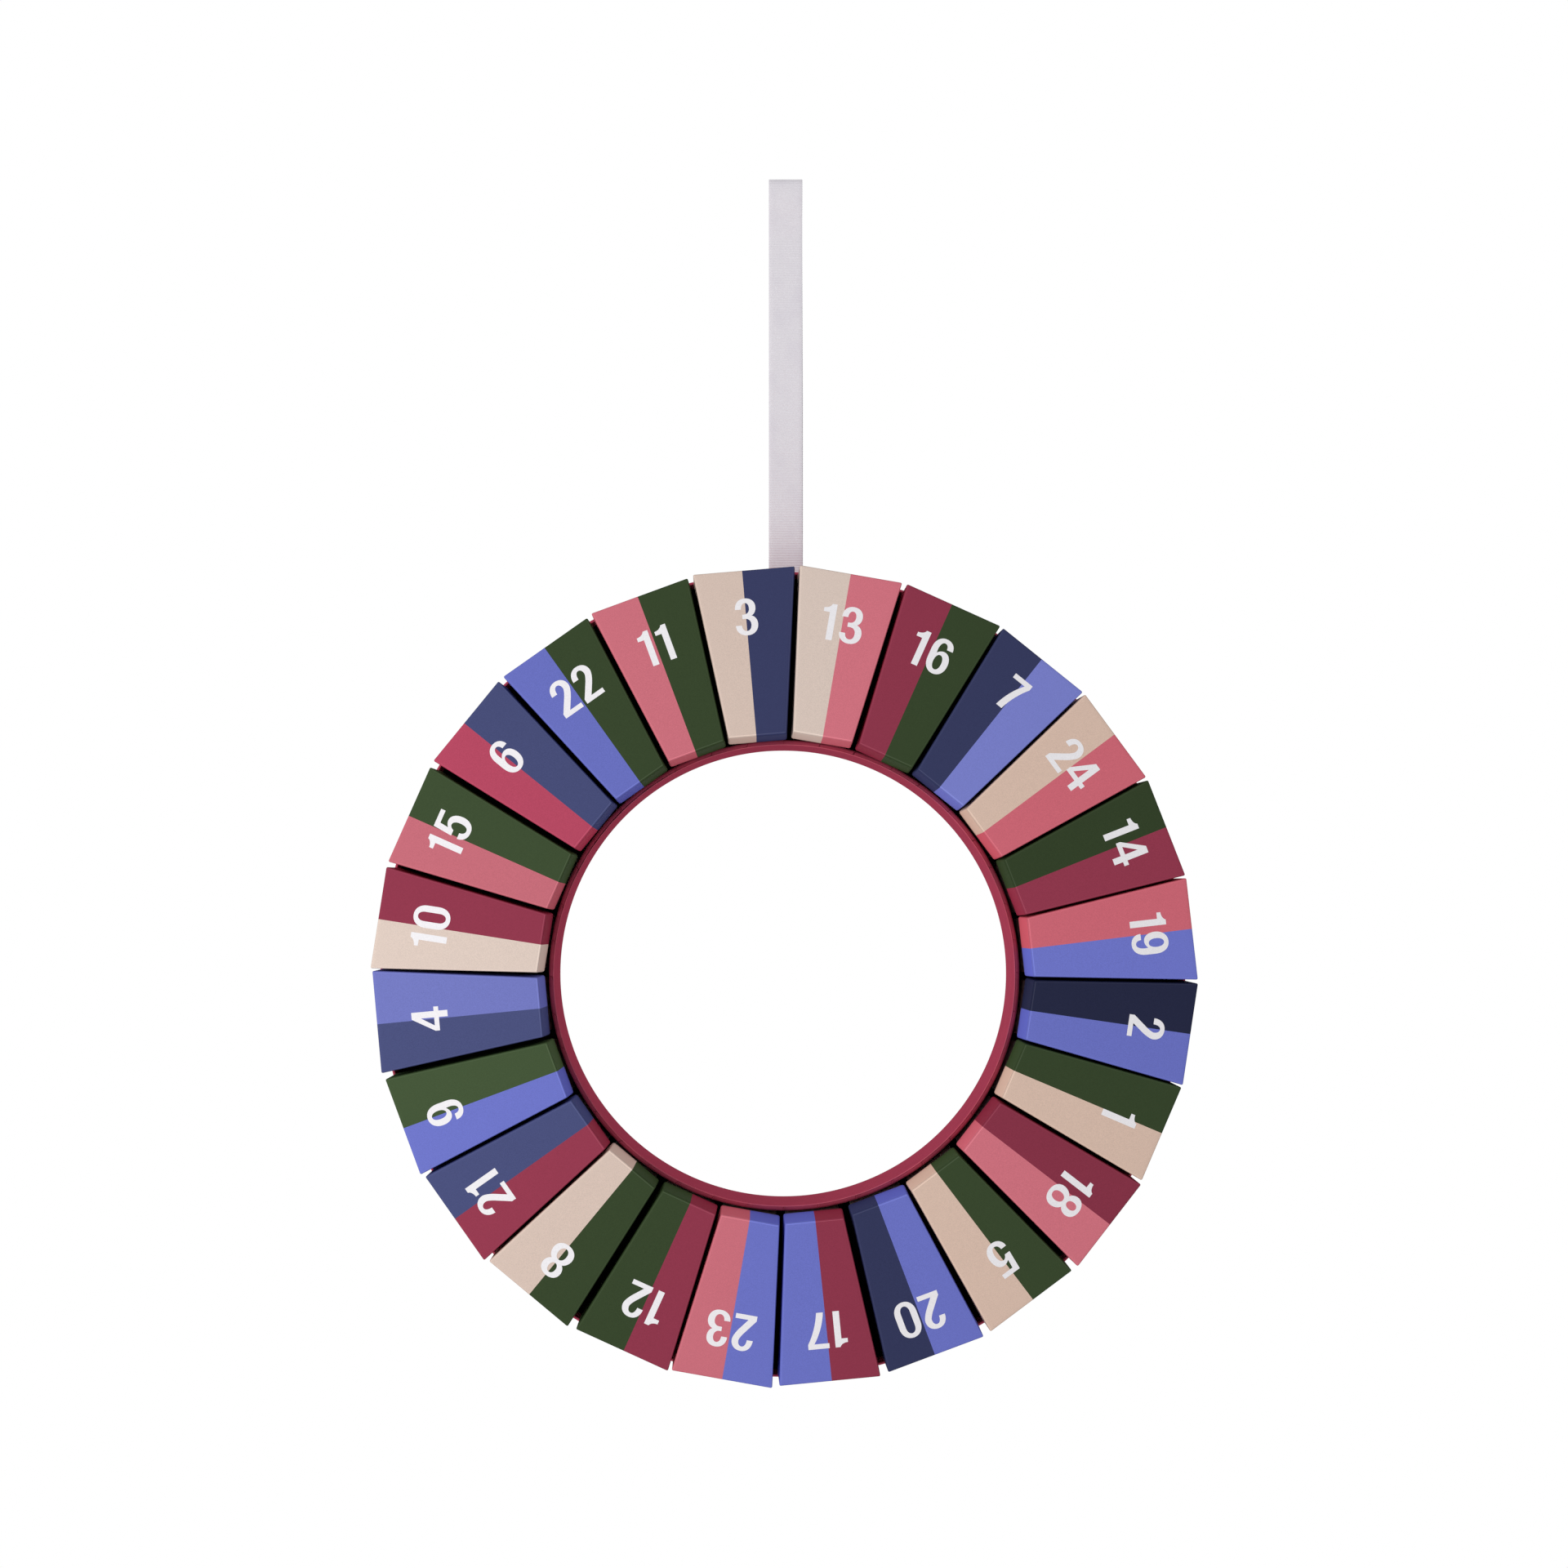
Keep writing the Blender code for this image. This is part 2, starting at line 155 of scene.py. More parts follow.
# %% Shader maths as Python expressions
class Value:
    """A node's output, with the arithmetic that the finishes below use."""

    def __init__(self, finish, socket):
        self.finish = finish
        self.socket = socket

    def maths(self, operation, *values):
        inputs = dict(enumerate(values))
        return self.finish.node("ShaderNodeMath", {"operation": operation, "use_clamp": False}, inputs)

    def __add__(self, other):
        return self.maths("ADD", self, other)

    def __sub__(self, other):
        return self.maths("SUBTRACT", self, other)

    def __rsub__(self, other):
        return self.maths("SUBTRACT", other, self)

    def __mul__(self, other):
        return self.maths("MULTIPLY", self, other)

    def __truediv__(self, other):
        return self.maths("DIVIDE", self, other)

    __radd__ = __add__
    __rmul__ = __mul__

    def smooth(self, low, high):
        """Runs smoothly from 0 at low to 1 at high."""
        settings = {"interpolation_type": "SMOOTHSTEP"}
        return self.finish.node("ShaderNodeMapRange", settings, {"Value": self, "From Min": low, "From Max": high})


class Finish:
    """One material: its nodes are added here, and its Principled shader is fed at the end."""

    def __init__(self, name):
        self.material = bpy.data.materials.new(name)
        self.material.use_nodes = True
        self.tree = self.material.node_tree
        self.shader = self.tree.nodes["Principled BSDF"]

    def node(self, kind, settings=None, inputs=None, output=0):
        """Adds a node, makes its settings, then fills its sockets with numbers, colours or links."""
        node = self.tree.nodes.new(kind)
        for name, value in (settings or {}).items():
            if name == "stops":
                set_stops(node.color_ramp, value)
            else:
                setattr(node, name, value)
        for name, value in (inputs or {}).items():
            self.feed(node.inputs[name], value)
        return Value(self, node.outputs[output])

    def feed(self, socket, value):
        if isinstance(value, Value):
            self.tree.links.new(value.socket, socket)
        else:
            socket.default_value = value

    def place(self):
        """Where a point lies on its piece, in metres. It moves with the piece."""
        return self.node("ShaderNodeTexCoord", output="Object")

    def grain(self, size, detail=2.0, place=None):
        """Noise of about that size, around 0.5."""
        inputs = {"Vector": place or self.place(), "Scale": 1.0 / size, "Detail": detail}
        return self.node("ShaderNodeTexNoise", None, inputs)

    def mixed(self, share, first, second):
        """The first colour where the share is 0, the second where it is 1."""
        return self.node("ShaderNodeMix", {"data_type": "RGBA"}, {0: share, 6: first, 7: second}, 2)

    def bump(self, height, depth, strength=1.0, under=None):
        inputs = {"Height": height, "Distance": depth, "Strength": strength}
        if under is not None:
            inputs["Normal"] = under
        return self.node("ShaderNodeBump", None, inputs)

    def paint(self, **sockets):
        for name, value in sockets.items():
            self.feed(self.shader.inputs[name.replace("_", " ")], value)
        return self.material


def set_stops(ramp, stops):
    for element, (position, colour) in zip(ramp.elements, stops):
        element.position = position
        element.color = colour
    for position, colour in stops[len(ramp.elements):]:
        ramp.elements.new(position).color = colour


def colour(red, green, blue):
    return (red, green, blue, 1.0)


def shade(tone, factor):
    """A colour made lighter or darker."""
    return colour(*[min(1.0, channel * factor) for channel in tone[:3]])


def towards(tone, other, share):
    """A colour moved part of the way to another."""
    return colour(*[a + (b - a) * share for a, b in zip(tone[:3], other[:3])])


# %% [markdown]
# The lids are printed card. The ink lies in a thin matte layer over the paper's fibres, so the colour wavers a
# little in spots of a few tenths of a millimetre. Along each fold runs a fine paler line, mostly a painted highlight:
# the ink is lightened there, with a trace of paper white where it stretches over the edge of the front and cracks.
# Beside it the crease that the rule left gets a dark line of painted shade. The flaps beyond the folds are painted
# deeper and brighter in colour, as painted light for the light that reaches them from their neighbours. The mesh
# marks all three with attributes of their own. All inks share one recipe.

# %% Printed card
PAPER_WHITE = colour(0.80, 0.77, 0.72)
# The pale copies of some inks go mostly to boxes on the lit left of the ring, the deep and warm copies to its darker
# right: in part painted light, lit and shaded copies of one ink.
INKS = {
    "beige": colour(0.643, 0.506, 0.432),
    "pale_beige": colour(0.670, 0.547, 0.475),
    "warm_beige": colour(0.674, 0.493, 0.398),
    "pink": colour(0.573, 0.155, 0.193),
    "warm_pink": colour(0.610, 0.138, 0.177),
    "crimson": colour(0.431, 0.063, 0.113),
    "burgundy": colour(0.263, 0.039, 0.070),
    "violet": colour(0.148, 0.169, 0.531),
    "pale_violet": colour(0.177, 0.197, 0.528),
    "pale_navy": colour(0.066, 0.077, 0.187),
    "navy": colour(0.039, 0.045, 0.110),
    "deep_navy": colour(0.021, 0.024, 0.056),
    "pale_green": colour(0.051, 0.079, 0.035),
    "green": colour(0.039, 0.060, 0.026),
}
MATTE_GLOSS = 0.003
SPOT_SIZE = 0.35 * MM
FIBRE_DEPTH = 0.02 * MM
# Painted fold highlight: how much the ink is lightened along the folds, and its share of paper white for cracked ink.
FOLD_HIGHLIGHT_GAIN = 1.4
WORN_SHARE = 0.04
# Darkening of the painted crease shade.
CREASE_SHADE_DARKENING = 0.75
# Painted bounce light on the flaps: how much more saturated and how much brighter their ink is.
FLAP_BOUNCE_SATURATION = 1.2
FLAP_BOUNCE_GAIN = 1.1


def deeper(tone):
    """Painted bounce light on a flap: the same ink, more saturated and a little brighter in its strongest channel."""
    strongest = max(tone[:3])
    return colour(*[strongest * FLAP_BOUNCE_GAIN * (channel / strongest) ** FLAP_BOUNCE_SATURATION for channel in tone[:3]])


def printed_card(name, ink):
    finish = Finish("card_" + name)
    place = finish.place()
    spots = finish.grain(SPOT_SIZE, 3.0, place)
    worn = finish.node("ShaderNodeAttribute", {"attribute_name": "worn"}, None, "Fac")
    pressed = finish.node("ShaderNodeAttribute", {"attribute_name": "pressed"}, None, "Fac")
    tone = finish.mixed(spots.smooth(0.3, 0.7), shade(ink, 0.93), shade(ink, 1.07))
    folded = finish.node("ShaderNodeAttribute", {"attribute_name": "folded"}, None, "Fac")
    # Painted highlight along the folds, with a trace of paper white where the ink cracks.
    tone = finish.mixed(worn, tone, towards(shade(ink, FOLD_HIGHLIGHT_GAIN), PAPER_WHITE, WORN_SHARE))
    # Painted light: the flaps take a deeper, brighter ink for the light bounced onto them.
    tone = finish.mixed(folded, tone, deeper(ink))
    # Painted shade: a dark line in the crease.
    tone = finish.mixed(pressed, tone, shade(ink, CREASE_SHADE_DARKENING))
    brightness = finish.node("ShaderNodeAttribute", {"attribute_name": "brightness"}, None, "Fac")
    tone = finish.node("ShaderNodeVectorMath", {"operation": "SCALE"}, {0: tone, "Scale": brightness})
    finish.shader.inputs["Specular IOR Level"].default_value = MATTE_GLOSS
    return finish.paint(Base_Color=tone, Roughness=0.52 + spots * 0.10,
                        Normal=finish.bump(spots, FIBRE_DEPTH, 0.5))


CARDS = {name: printed_card(name, ink) for name, ink in INKS.items()}
print("inks:", ", ".join(CARDS))

# %% [markdown]
# Where card is cut, its core shows: pale, fibrous and rougher than either face. The inside of a lid and the whole
# tray are the same card without print.

# %% Plain card and its core
def plain_card(name, tone, roughness):
    finish = Finish(name)
    place = finish.place()
    fibres = finish.grain(0.25 * MM, 4.0, place)
    clouds = finish.grain(7.0 * MM, 2.0, place)
    face = finish.mixed(fibres.smooth(0.35, 0.65), shade(tone, 0.94), shade(tone, 1.04))
    face = finish.mixed(clouds.smooth(0.4, 0.8) * 0.4, face, shade(tone, 0.92))
    finish.shader.inputs["Specular IOR Level"].default_value = MATTE_GLOSS
    return finish.paint(Base_Color=face, Roughness=roughness, Normal=finish.bump(fibres, 0.03 * MM, 0.6))


CORE = plain_card("card_core", colour(0.74, 0.71, 0.66), 0.9)
INSIDE = plain_card("card_inside", colour(0.62, 0.59, 0.54), 0.85)
print("plain cards:", CORE.name, INSIDE.name)

# %% [markdown]
# A lid is folded from one flat blank: the front panel with a flap along each of its four edges. A rule presses a
# crease into the card before it is folded, which leaves a fine groove along the bend. At a corner the long flaps
# go on as tabs round behind the end flaps, so the corner is closed and softly round.
#
# The blank could be cut and folded by modifiers, but a grid of rows that bends where the card bends is simpler and
# gives clean faces. Solidify then gives the sheet its thickness, and its rim becomes the cut edge of the card.
# Print doesn't follow the folds: the two inks meet in one straight line, which lies a little off the box's middle
# and runs on over the end flaps, so the grid keeps one straight column for it.

# %% Fold a tray from a blank
CARD_THICK = 0.6 * MM
EDGE_STEPS = [0.0, 0.2 * MM, 0.45 * MM, 0.8 * MM, 1.3 * MM, 2.2 * MM]
HALF_PANEL_STEPS = 4
BEND_STEPS = 6
# Bend rows that take the painted crease shade.
CREASE_SHADE_STEPS = (2, 3)
LONG_FOLD_WEAR_AND_HIGHLIGHT = 0.4
CORNER_STEPS = 4
WALL_STEPS = 5


def spread(half, middle):
    """Places from -half to half: close together near both ends, where the creases are, and one at the middle."""
    low = [step - half for step in EDGE_STEPS]
    high = [half - step for step in reversed(EDGE_STEPS)]
    shares = [step / HALF_PANEL_STEPS for step in range(1, HALF_PANEL_STEPS)]
    left = [low[-1] + (middle - low[-1]) * share for share in shares]
    right = [middle + (high[0] - middle) * share for share in shares]
    return low + left + [middle] + right + high


def bend(radius, distance):
    """How far out and how far back a flap lies, that distance along the card from where its bend starts."""
    turned = min(distance / radius, math.pi / 2)
    straight = max(0.0, distance - radius * math.pi / 2)
    return radius * math.sin(turned), radius * (1 - math.cos(turned)) + straight


class Blank:
    """The sizes of a folded tray: half its width at its outer end, length, depth and how it is bent."""

    def __init__(self, half_outer_width, length, depth, radius, flare=0.0, groove=0.0, sag=0.0, splits=(0.0, 0.0)):
        self.half_outer_width = half_outer_width
        self.length = length
        self.depth = depth
        self.radius = radius
        self.flare = flare
        self.groove = groove
        self.sag = sag
        self.splits = splits

    def split(self, along):
        """Where the two inks meet at a place along the tray."""
        outer, inner = self.splits
        return inner + (outer - inner) * (along / self.length + 0.5)

    def crease(self, along):
        """Half the width between the two long creases at a place along the tray."""
        narrowing = (self.length / 2 - along) * math.tan(HALF_WEDGE)
        return self.half_outer_width - narrowing - self.radius / math.cos(HALF_WEDGE)

    def flap_distances(self):
        arc = self.radius * math.pi / 2
        wall = self.depth - self.radius
        bends = [arc * step / BEND_STEPS for step in range(1, BEND_STEPS + 1)]
        return bends + [arc + wall * step / WALL_STEPS for step in range(1, WALL_STEPS + 1)]

    def face_level(self, across, along):
        """Depth of the flat panel's surface: the soft roll beside each crease and the slight sag between them."""
        crease = self.crease(along)
        end = self.length / 2 - self.radius
        near = max(0.0, min(crease - abs(across), end - abs(along)))
        rolled = self.groove * math.exp(-(near / EDGE_STEPS[2]) ** 2)
        hollow = self.sag * (1 - (across / crease) ** 2) * (1 - (along / end) ** 2)
        return rolled + hollow


def fold_tray(blank):
    """The outer surface of a tray, front panel at level 0 and flaps behind it, as (across, depth, along)."""
    shape = bmesh.new()
    worn = shape.verts.layers.float.new("worn")
    pressed = shape.verts.layers.float.new("pressed")
    folded = shape.verts.layers.float.new("folded")
    end = blank.length / 2 - blank.radius
    places_along = spread(end, 0.0)
    panel = []
    for along in places_along:
        places = spread(blank.crease(along), blank.split(along))
        panel.append([shape.verts.new((across, blank.face_level(across, along), along)) for across in places])
    split_column = len(EDGE_STEPS) + HALF_PANEL_STEPS - 1
    for near, far in zip(panel, panel[1:]):
        for i, (a, b, c, d) in enumerate(zip(near, near[1:], far[1:], far)):
            shape.faces.new((a, b, c, d)).material_index = 0 if i < split_column else 1
    # Painted fold highlight with a trace of wear: full beside the inner end's crease, weaker along the long folds.
    for vertex in panel[1][1:-1]:
        vertex[worn] = 1.0
    for row in panel:
        row[0][worn] = row[-1][worn] = LONG_FOLD_WEAR_AND_HIGHLIGHT

    rim = panel_rim(panel, split_column)
    before = [vertex for vertex, _, _ in rim]
    for step, distance in enumerate(blank.flap_distances()):
        out, back = bend(blank.radius, distance)
        out += blank.flare * back / blank.depth
        row = []
        for vertex, direction, _ in rim:
            across, along = vertex.co.x + out * direction[0], vertex.co.z + out * direction[1]
            row.append(shape.verts.new((across, back + max(0.0, vertex.co.y) * (1 - back / blank.depth), along)))
            # Painted crease shade on these rows of the bend.
            row[-1][pressed] = 1.0 if step in CREASE_SHADE_STEPS else 0.0
            # The folded share also sets the painted bounce light on the flaps.
            row[-1][folded] = min(1.0, (step + 1) / BEND_STEPS)
        for i, (_, _, ink) in enumerate(rim):
            j = (i + 1) % len(rim)
            corners = [before[i], row[i], row[j], before[j]]
            if before[i] is before[j]:
                corners.pop()
            shape.faces.new(corners).material_index = ink
        before = row
    return shape


def panel_rim(panel, split_column):
    """The panel's rim in turn, as (vertex, direction out as (across, along), ink of the next face).

    A corner's vertex is listed several times, its direction turning from one edge's to the next.
    """
    slant = (math.cos(HALF_WEDGE), -math.sin(HALF_WEDGE))
    last = len(panel[0]) - 1
    sides = [
        ([row[last] for row in panel], slant, [1] * len(panel)),
        ([panel[-1][i] for i in range(last, -1, -1)], (0.0, 1.0),
         [1 if i > split_column else 0 for i in range(last, -1, -1)]),
        ([row[0] for row in reversed(panel)], (-slant[0], slant[1]), [0] * len(panel)),
        ([panel[0][i] for i in range(last + 1)], (0.0, -1.0), [0 if i < split_column else 1 for i in range(last + 1)]),
    ]
    rim = []
    for (vertices, direction, inks), (_, following, _) in zip(sides, sides[1:] + sides[:1]):
        for vertex, ink in zip(vertices[:-1], inks):
            rim.append((vertex, direction, ink))
        start = math.atan2(direction[1], direction[0])
        turn = (math.atan2(following[1], following[0]) - start) % (2 * math.pi)
        for step in range(CORNER_STEPS):
            angle = start + turn * step / CORNER_STEPS
            rim.append((vertices[-1], (math.cos(angle), math.sin(angle)), inks[-1]))
    return rim


print("rows of a front panel:", len(spread(BOX_LENGTH / 2, 0.0)))

# %% [markdown]
# The folded sheet takes its thickness, and the finished tray is moved to its seat.

# %% Thicken and seat a tray
SHARP_TURN = math.radians(40)


def finish_tray(name, shape, seat, materials, level=0.0, facing=1):
    """Makes the tray's mesh. Level is the panel's depth in the box's own frame, facing -1 turns the flaps forward."""
    bmesh.ops.recalc_face_normals(shape, faces=shape.faces)
    centre_face = min(shape.faces, key=lambda face: face.calc_center_median().length)
    if centre_face.normal.y > 0:
        bmesh.ops.reverse_faces(shape, faces=shape.faces)
    for vertex in shape.verts:
        vertex.co.y = level + facing * vertex.co.y
    if facing < 0:
        bmesh.ops.reverse_faces(shape, faces=shape.faces)
    mesh = bpy.data.meshes.new(name)
    for material in materials:
        mesh.materials.append(material)
    shape.to_mesh(mesh)
    shape.free()
    tray = bpy.data.objects.new(name, mesh)
    bpy.context.scene.collection.objects.link(tray)
    solid = tray.modifiers.new("card", "SOLIDIFY")
    solid.thickness = CARD_THICK
    solid.offset = -1.0
    solid.use_even_offset = True
    solid.material_offset = 2
    solid.material_offset_rim = 4
    tray.data = baked_mesh(tray)
    tray.modifiers.clear()
    tray.data.transform(seat)
    smooth(tray.data)
    return tray


def baked_mesh(piece):
    bpy.context.view_layer.update()
    graph = bpy.context.evaluated_depsgraph_get()
    mesh = bpy.data.meshes.new_from_object(piece.evaluated_get(graph))
    mesh.name = piece.name
    return mesh


def smooth(mesh):
    mesh.shade_smooth()
    mesh.set_sharp_from_angle(angle=SHARP_TURN)


# %% [markdown]
# Here is what changes from box to box: the inks on its anticlockwise and clockwise halves, how far their meeting
# line lies off the box's middle at the outer and the inner end, and how far the number's middle lies off that
# middle and from the outer end. The printer's sheets and the folding by hand leave no two alike. Lengths are in
# millimetres.

# %% What each lid is printed with
PRINTS = {
    "01": ("green", "warm_beige", -0.3, -0.1, -0.2, 21.2),
    "02": ("deep_navy", "violet", -0.1, 0.2, -0.1, 21.0),
    "03": ("beige", "navy", -0.8, -0.6, -0.6, 21.7),
    "04": ("pale_navy", "pale_violet", -1.0, -0.5, -0.8, 24.8),
    "05": ("green", "warm_beige", -1.1, -0.7, -1.0, 24.1),
    "06": ("crimson", "pale_navy", -1.3, -0.9, -1.0, 25.3),
    "07": ("navy", "pale_violet", -0.7, -0.4, -1.0, 21.2),
    "08": ("green", "beige", -0.5, -0.1, -0.5, 20.8),
    "09": ("violet", "pale_green", -0.7, -0.5, -0.6, 20.9),
    "10": ("pale_beige", "burgundy", -0.7, -0.7, -0.5, 24.7),
    "11": ("pink", "green", -0.9, -0.4, -0.7, 24.7),
    "12": ("burgundy", "green", -0.9, -0.6, -0.8, 24.2),
    "13": ("pale_beige", "pink", -0.1, 0.0, 0.0, 23.7),
    "14": ("green", "burgundy", -0.3, 0.1, -0.4, 20.6),
    "15": ("pink", "pale_green", -0.7, -0.5, -0.6, 21.1),
    "16": ("burgundy", "green", -0.8, -0.4, -0.5, 24.6),
    "17": ("burgundy", "violet", -0.9, -0.4, -0.8, 23.9),
    "18": ("burgundy", "pink", -0.5, -0.3, -0.6, 23.9),
    "19": ("warm_pink", "violet", 0.0, 0.6, 0.1, 20.3),
    "20": ("violet", "navy", 0.5, 0.8, 0.6, 19.8),
    "21": ("burgundy", "pale_navy", -0.2, 0.1, -0.1, 20.5),
    "22": ("violet", "green", -0.4, 0.1, 0.0, 24.5),
    "23": ("violet", "pink", -0.1, 0.2, 0.0, 23.3),
    "24": ("warm_beige", "warm_pink", -0.8, -0.4, -0.7, 23.7),
}

# %% [markdown]
# Some halves are made a shade lighter and some a shade darker than their ink. A box's number with its half, L
# for the anticlockwise one and R for the clockwise one, stands in one of two short lists. The shade goes into the
# mesh as an attribute, so that all boxes can share one material for each ink.

# %% Lighter and darker prints
LIGHTER_HALVES = "03R 05L 07R 09R 13R 14R 18R 19R 21L"
DARKER_HALVES = "04R 06R 14L 15L 15R 18L 20R 22L"
LIGHTER = 1.09
DARKER = 0.91


def print_shade(half):
    if half in LIGHTER_HALVES:
        return LIGHTER
    return DARKER if half in DARKER_HALVES else 1.0


def set_brightness(lid, number):
    shades = {0: print_shade(number + "L"), 1: print_shade(number + "R")}
    attribute = lid.data.attributes.new("brightness", "FLOAT", "FACE")
    attribute.data.foreach_set("value", [shades.get(face.material_index, 1.0) for face in lid.data.polygons])


# %% [markdown]
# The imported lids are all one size. In the photograph their ends and sides lie up to about two millimetres from the
# packed places. Each was folded and pushed home by hand, and the camera was tilted. It isn't known how much comes of
# which. These are the differences, measured by laying the render over the photograph: how far the outer end and the
# inner end lie outwards, how far each end lies clockwise, and how much wider the box is. They move the dressed boxes
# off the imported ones. A lid is up to 1.7 mm shorter or 0.9 mm longer than its packed one, and from 0.5 mm narrower to
# 0.9 mm wider.

# %% How each box was pushed home
PUSHED = {
    "01": (0.7, 2.1, -0.3, 0.0, -0.5),
    "02": (1.3, 2.1, 0.1, 0.1, 0.1),
    "03": (-0.3, -1.2, 0.3, 0.1, 0.2),
    "04": (0.6, 0.6, -0.2, -0.5, 0.2),
    "05": (0.2, 1.9, -0.2, 0.0, -0.1),
    "06": (-0.3, -0.8, 0.0, -0.1, 0.5),
    "07": (0.3, 0.2, 0.3, 0.4, 0.0),
    "08": (-0.2, 0.5, -0.4, -0.6, 0.2),
    "09": (0.7, 0.6, -0.3, -0.5, -0.3),
    "10": (0.6, 0.1, -0.2, -0.3, 0.2),
    "11": (-0.7, -1.4, 0.3, 0.0, 0.5),
    "12": (-0.3, 0.5, -0.4, -0.5, -0.3),
    "13": (-0.2, -0.9, 0.5, 0.2, 0.9),
    "14": (1.2, 1.6, 0.3, 0.3, -0.1),
    "15": (-0.1, -0.3, 0.0, 0.0, 0.7),
    "16": (0.0, -0.8, 0.6, 0.4, 0.1),
    "17": (-0.2, 1.1, -0.3, -0.3, -0.1),
    "18": (1.0, 2.1, -0.4, 0.0, 0.5),
    "19": (1.4, 2.0, 0.1, 0.2, -0.2),
    "20": (-0.1, 1.4, 0.0, -0.2, 0.0),
    "21": (0.3, 0.7, -0.2, -0.4, 0.1),
    "22": (-0.9, -1.4, 0.2, 0.0, 0.5),
    "23": (-0.1, 0.9, -0.2, -0.4, 0.1),
    "24": (0.8, 0.9, 0.4, 0.4, 0.2),
}


def pushed_box(node, number, most_out=math.inf):
    """A box's seat, length and half its width at its outer end, with its outer end no farther out than that."""
    outer_out, inner_out, outer_aside, inner_aside, wider = [value * MM for value in PUSHED[number]]
    outer_out = min(outer_out, most_out)
    length = BOX_LENGTH + outer_out - inner_out
    middle = Vector(((outer_aside + inner_aside) / 2, 0.0, (outer_out + inner_out) / 2))
    turn = Matrix.Rotation((outer_aside - inner_aside) / BOX_LENGTH, 4, "Y")
    half = outer_width / 2 + wider / 2 + outer_out * math.tan(HALF_WEDGE)
    return lid_seat(node) @ Matrix.Translation(middle) @ turn, length, half


# %% [markdown]
# Now the twenty-four lids. Each sags by its own small amount, from a seeded draw, and rides on the body of its own
# joint, so it comes off its tray as the real one does.

# %% Lids
LID_FOLD_RADIUS = 0.65 * MM
LID_FLARE = 0.45 * MM
GROOVE_DEPTH = 0.08 * MM
LEAST_SAG = 0.05 * MM
MOST_SAG = 0.25 * MM

draw = random.Random(24)
lids = {}
blanks = {}
for number, (left, right, outer_split, inner_split, _, _) in PRINTS.items():
    sag = draw.uniform(LEAST_SAG, MOST_SAG)
    seat, length, half = pushed_box(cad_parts[f"box_{number}_lid"], number)
    blank = Blank(half, length, LID_DEPTH, LID_FOLD_RADIUS, LID_FLARE, GROOVE_DEPTH, sag,
                  (outer_split * MM, inner_split * MM))
    card = [CARDS[left], CARDS[right], INSIDE, INSIDE, CORE, CORE]
    lid = finish_tray(f"lid_{number}", fold_tray(blank), seat, card)
    set_brightness(lid, number)
    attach(lid, f"lid_{number}")
    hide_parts(f"box_{number}_lid")
    "card_" + left.split("_")[-1]
    lids[number] = lid
    blanks[number] = (blank, seat)
print("lids:", len(lids), "faces each:", len(lids["01"].data.polygons))

# %% [markdown]
# The cups under the lids are folded the same way from plain card, with their flaps to the front. They are deeper
# than the lids, since they go down to the tray's floor, and they are seen once a lid is off. A cup follows its lid's
# place, but its outer end has only a little room before the tray's outer wall.

# %% Cups
CUP_SET_IN = 0.95 * MM
CUP_FOLD_RADIUS = 0.8 * MM
CUP_ROOM = 0.7 * MM

for number in blanks:
    seat, length, half = pushed_box(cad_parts[f"box_{number}_lid"], number, CUP_ROOM)
    half -= CUP_SET_IN / math.cos(HALF_WEDGE) + CUP_SET_IN * math.tan(HALF_WEDGE)
    blank = Blank(half, length - 2 * CUP_SET_IN, CUP_DEPTH, CUP_FOLD_RADIUS)
    cup = finish_tray(f"cup_{number}", fold_tray(blank), seat, [INSIDE, INSIDE, INSIDE, INSIDE, CORE, CORE],
                      level=cup_high.y - LID_FRONT, facing=-1)
    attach(cup, "wreath")
    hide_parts(f"box_{number}_cup")
print("cups:", len(blanks))

# %% [markdown]
# The numbers are plain white figures of a narrow, even-stroked kind. Each figure is an outline drawn once, in
# shares of its height. A pair of numbers is the end of a straight run, and four are a bend: the corner that it
# rounds and the point where it ends. One share says how far a bend's handles reach towards its corner, which sets
# how square all the round strokes are. The nine is the six turned half round.

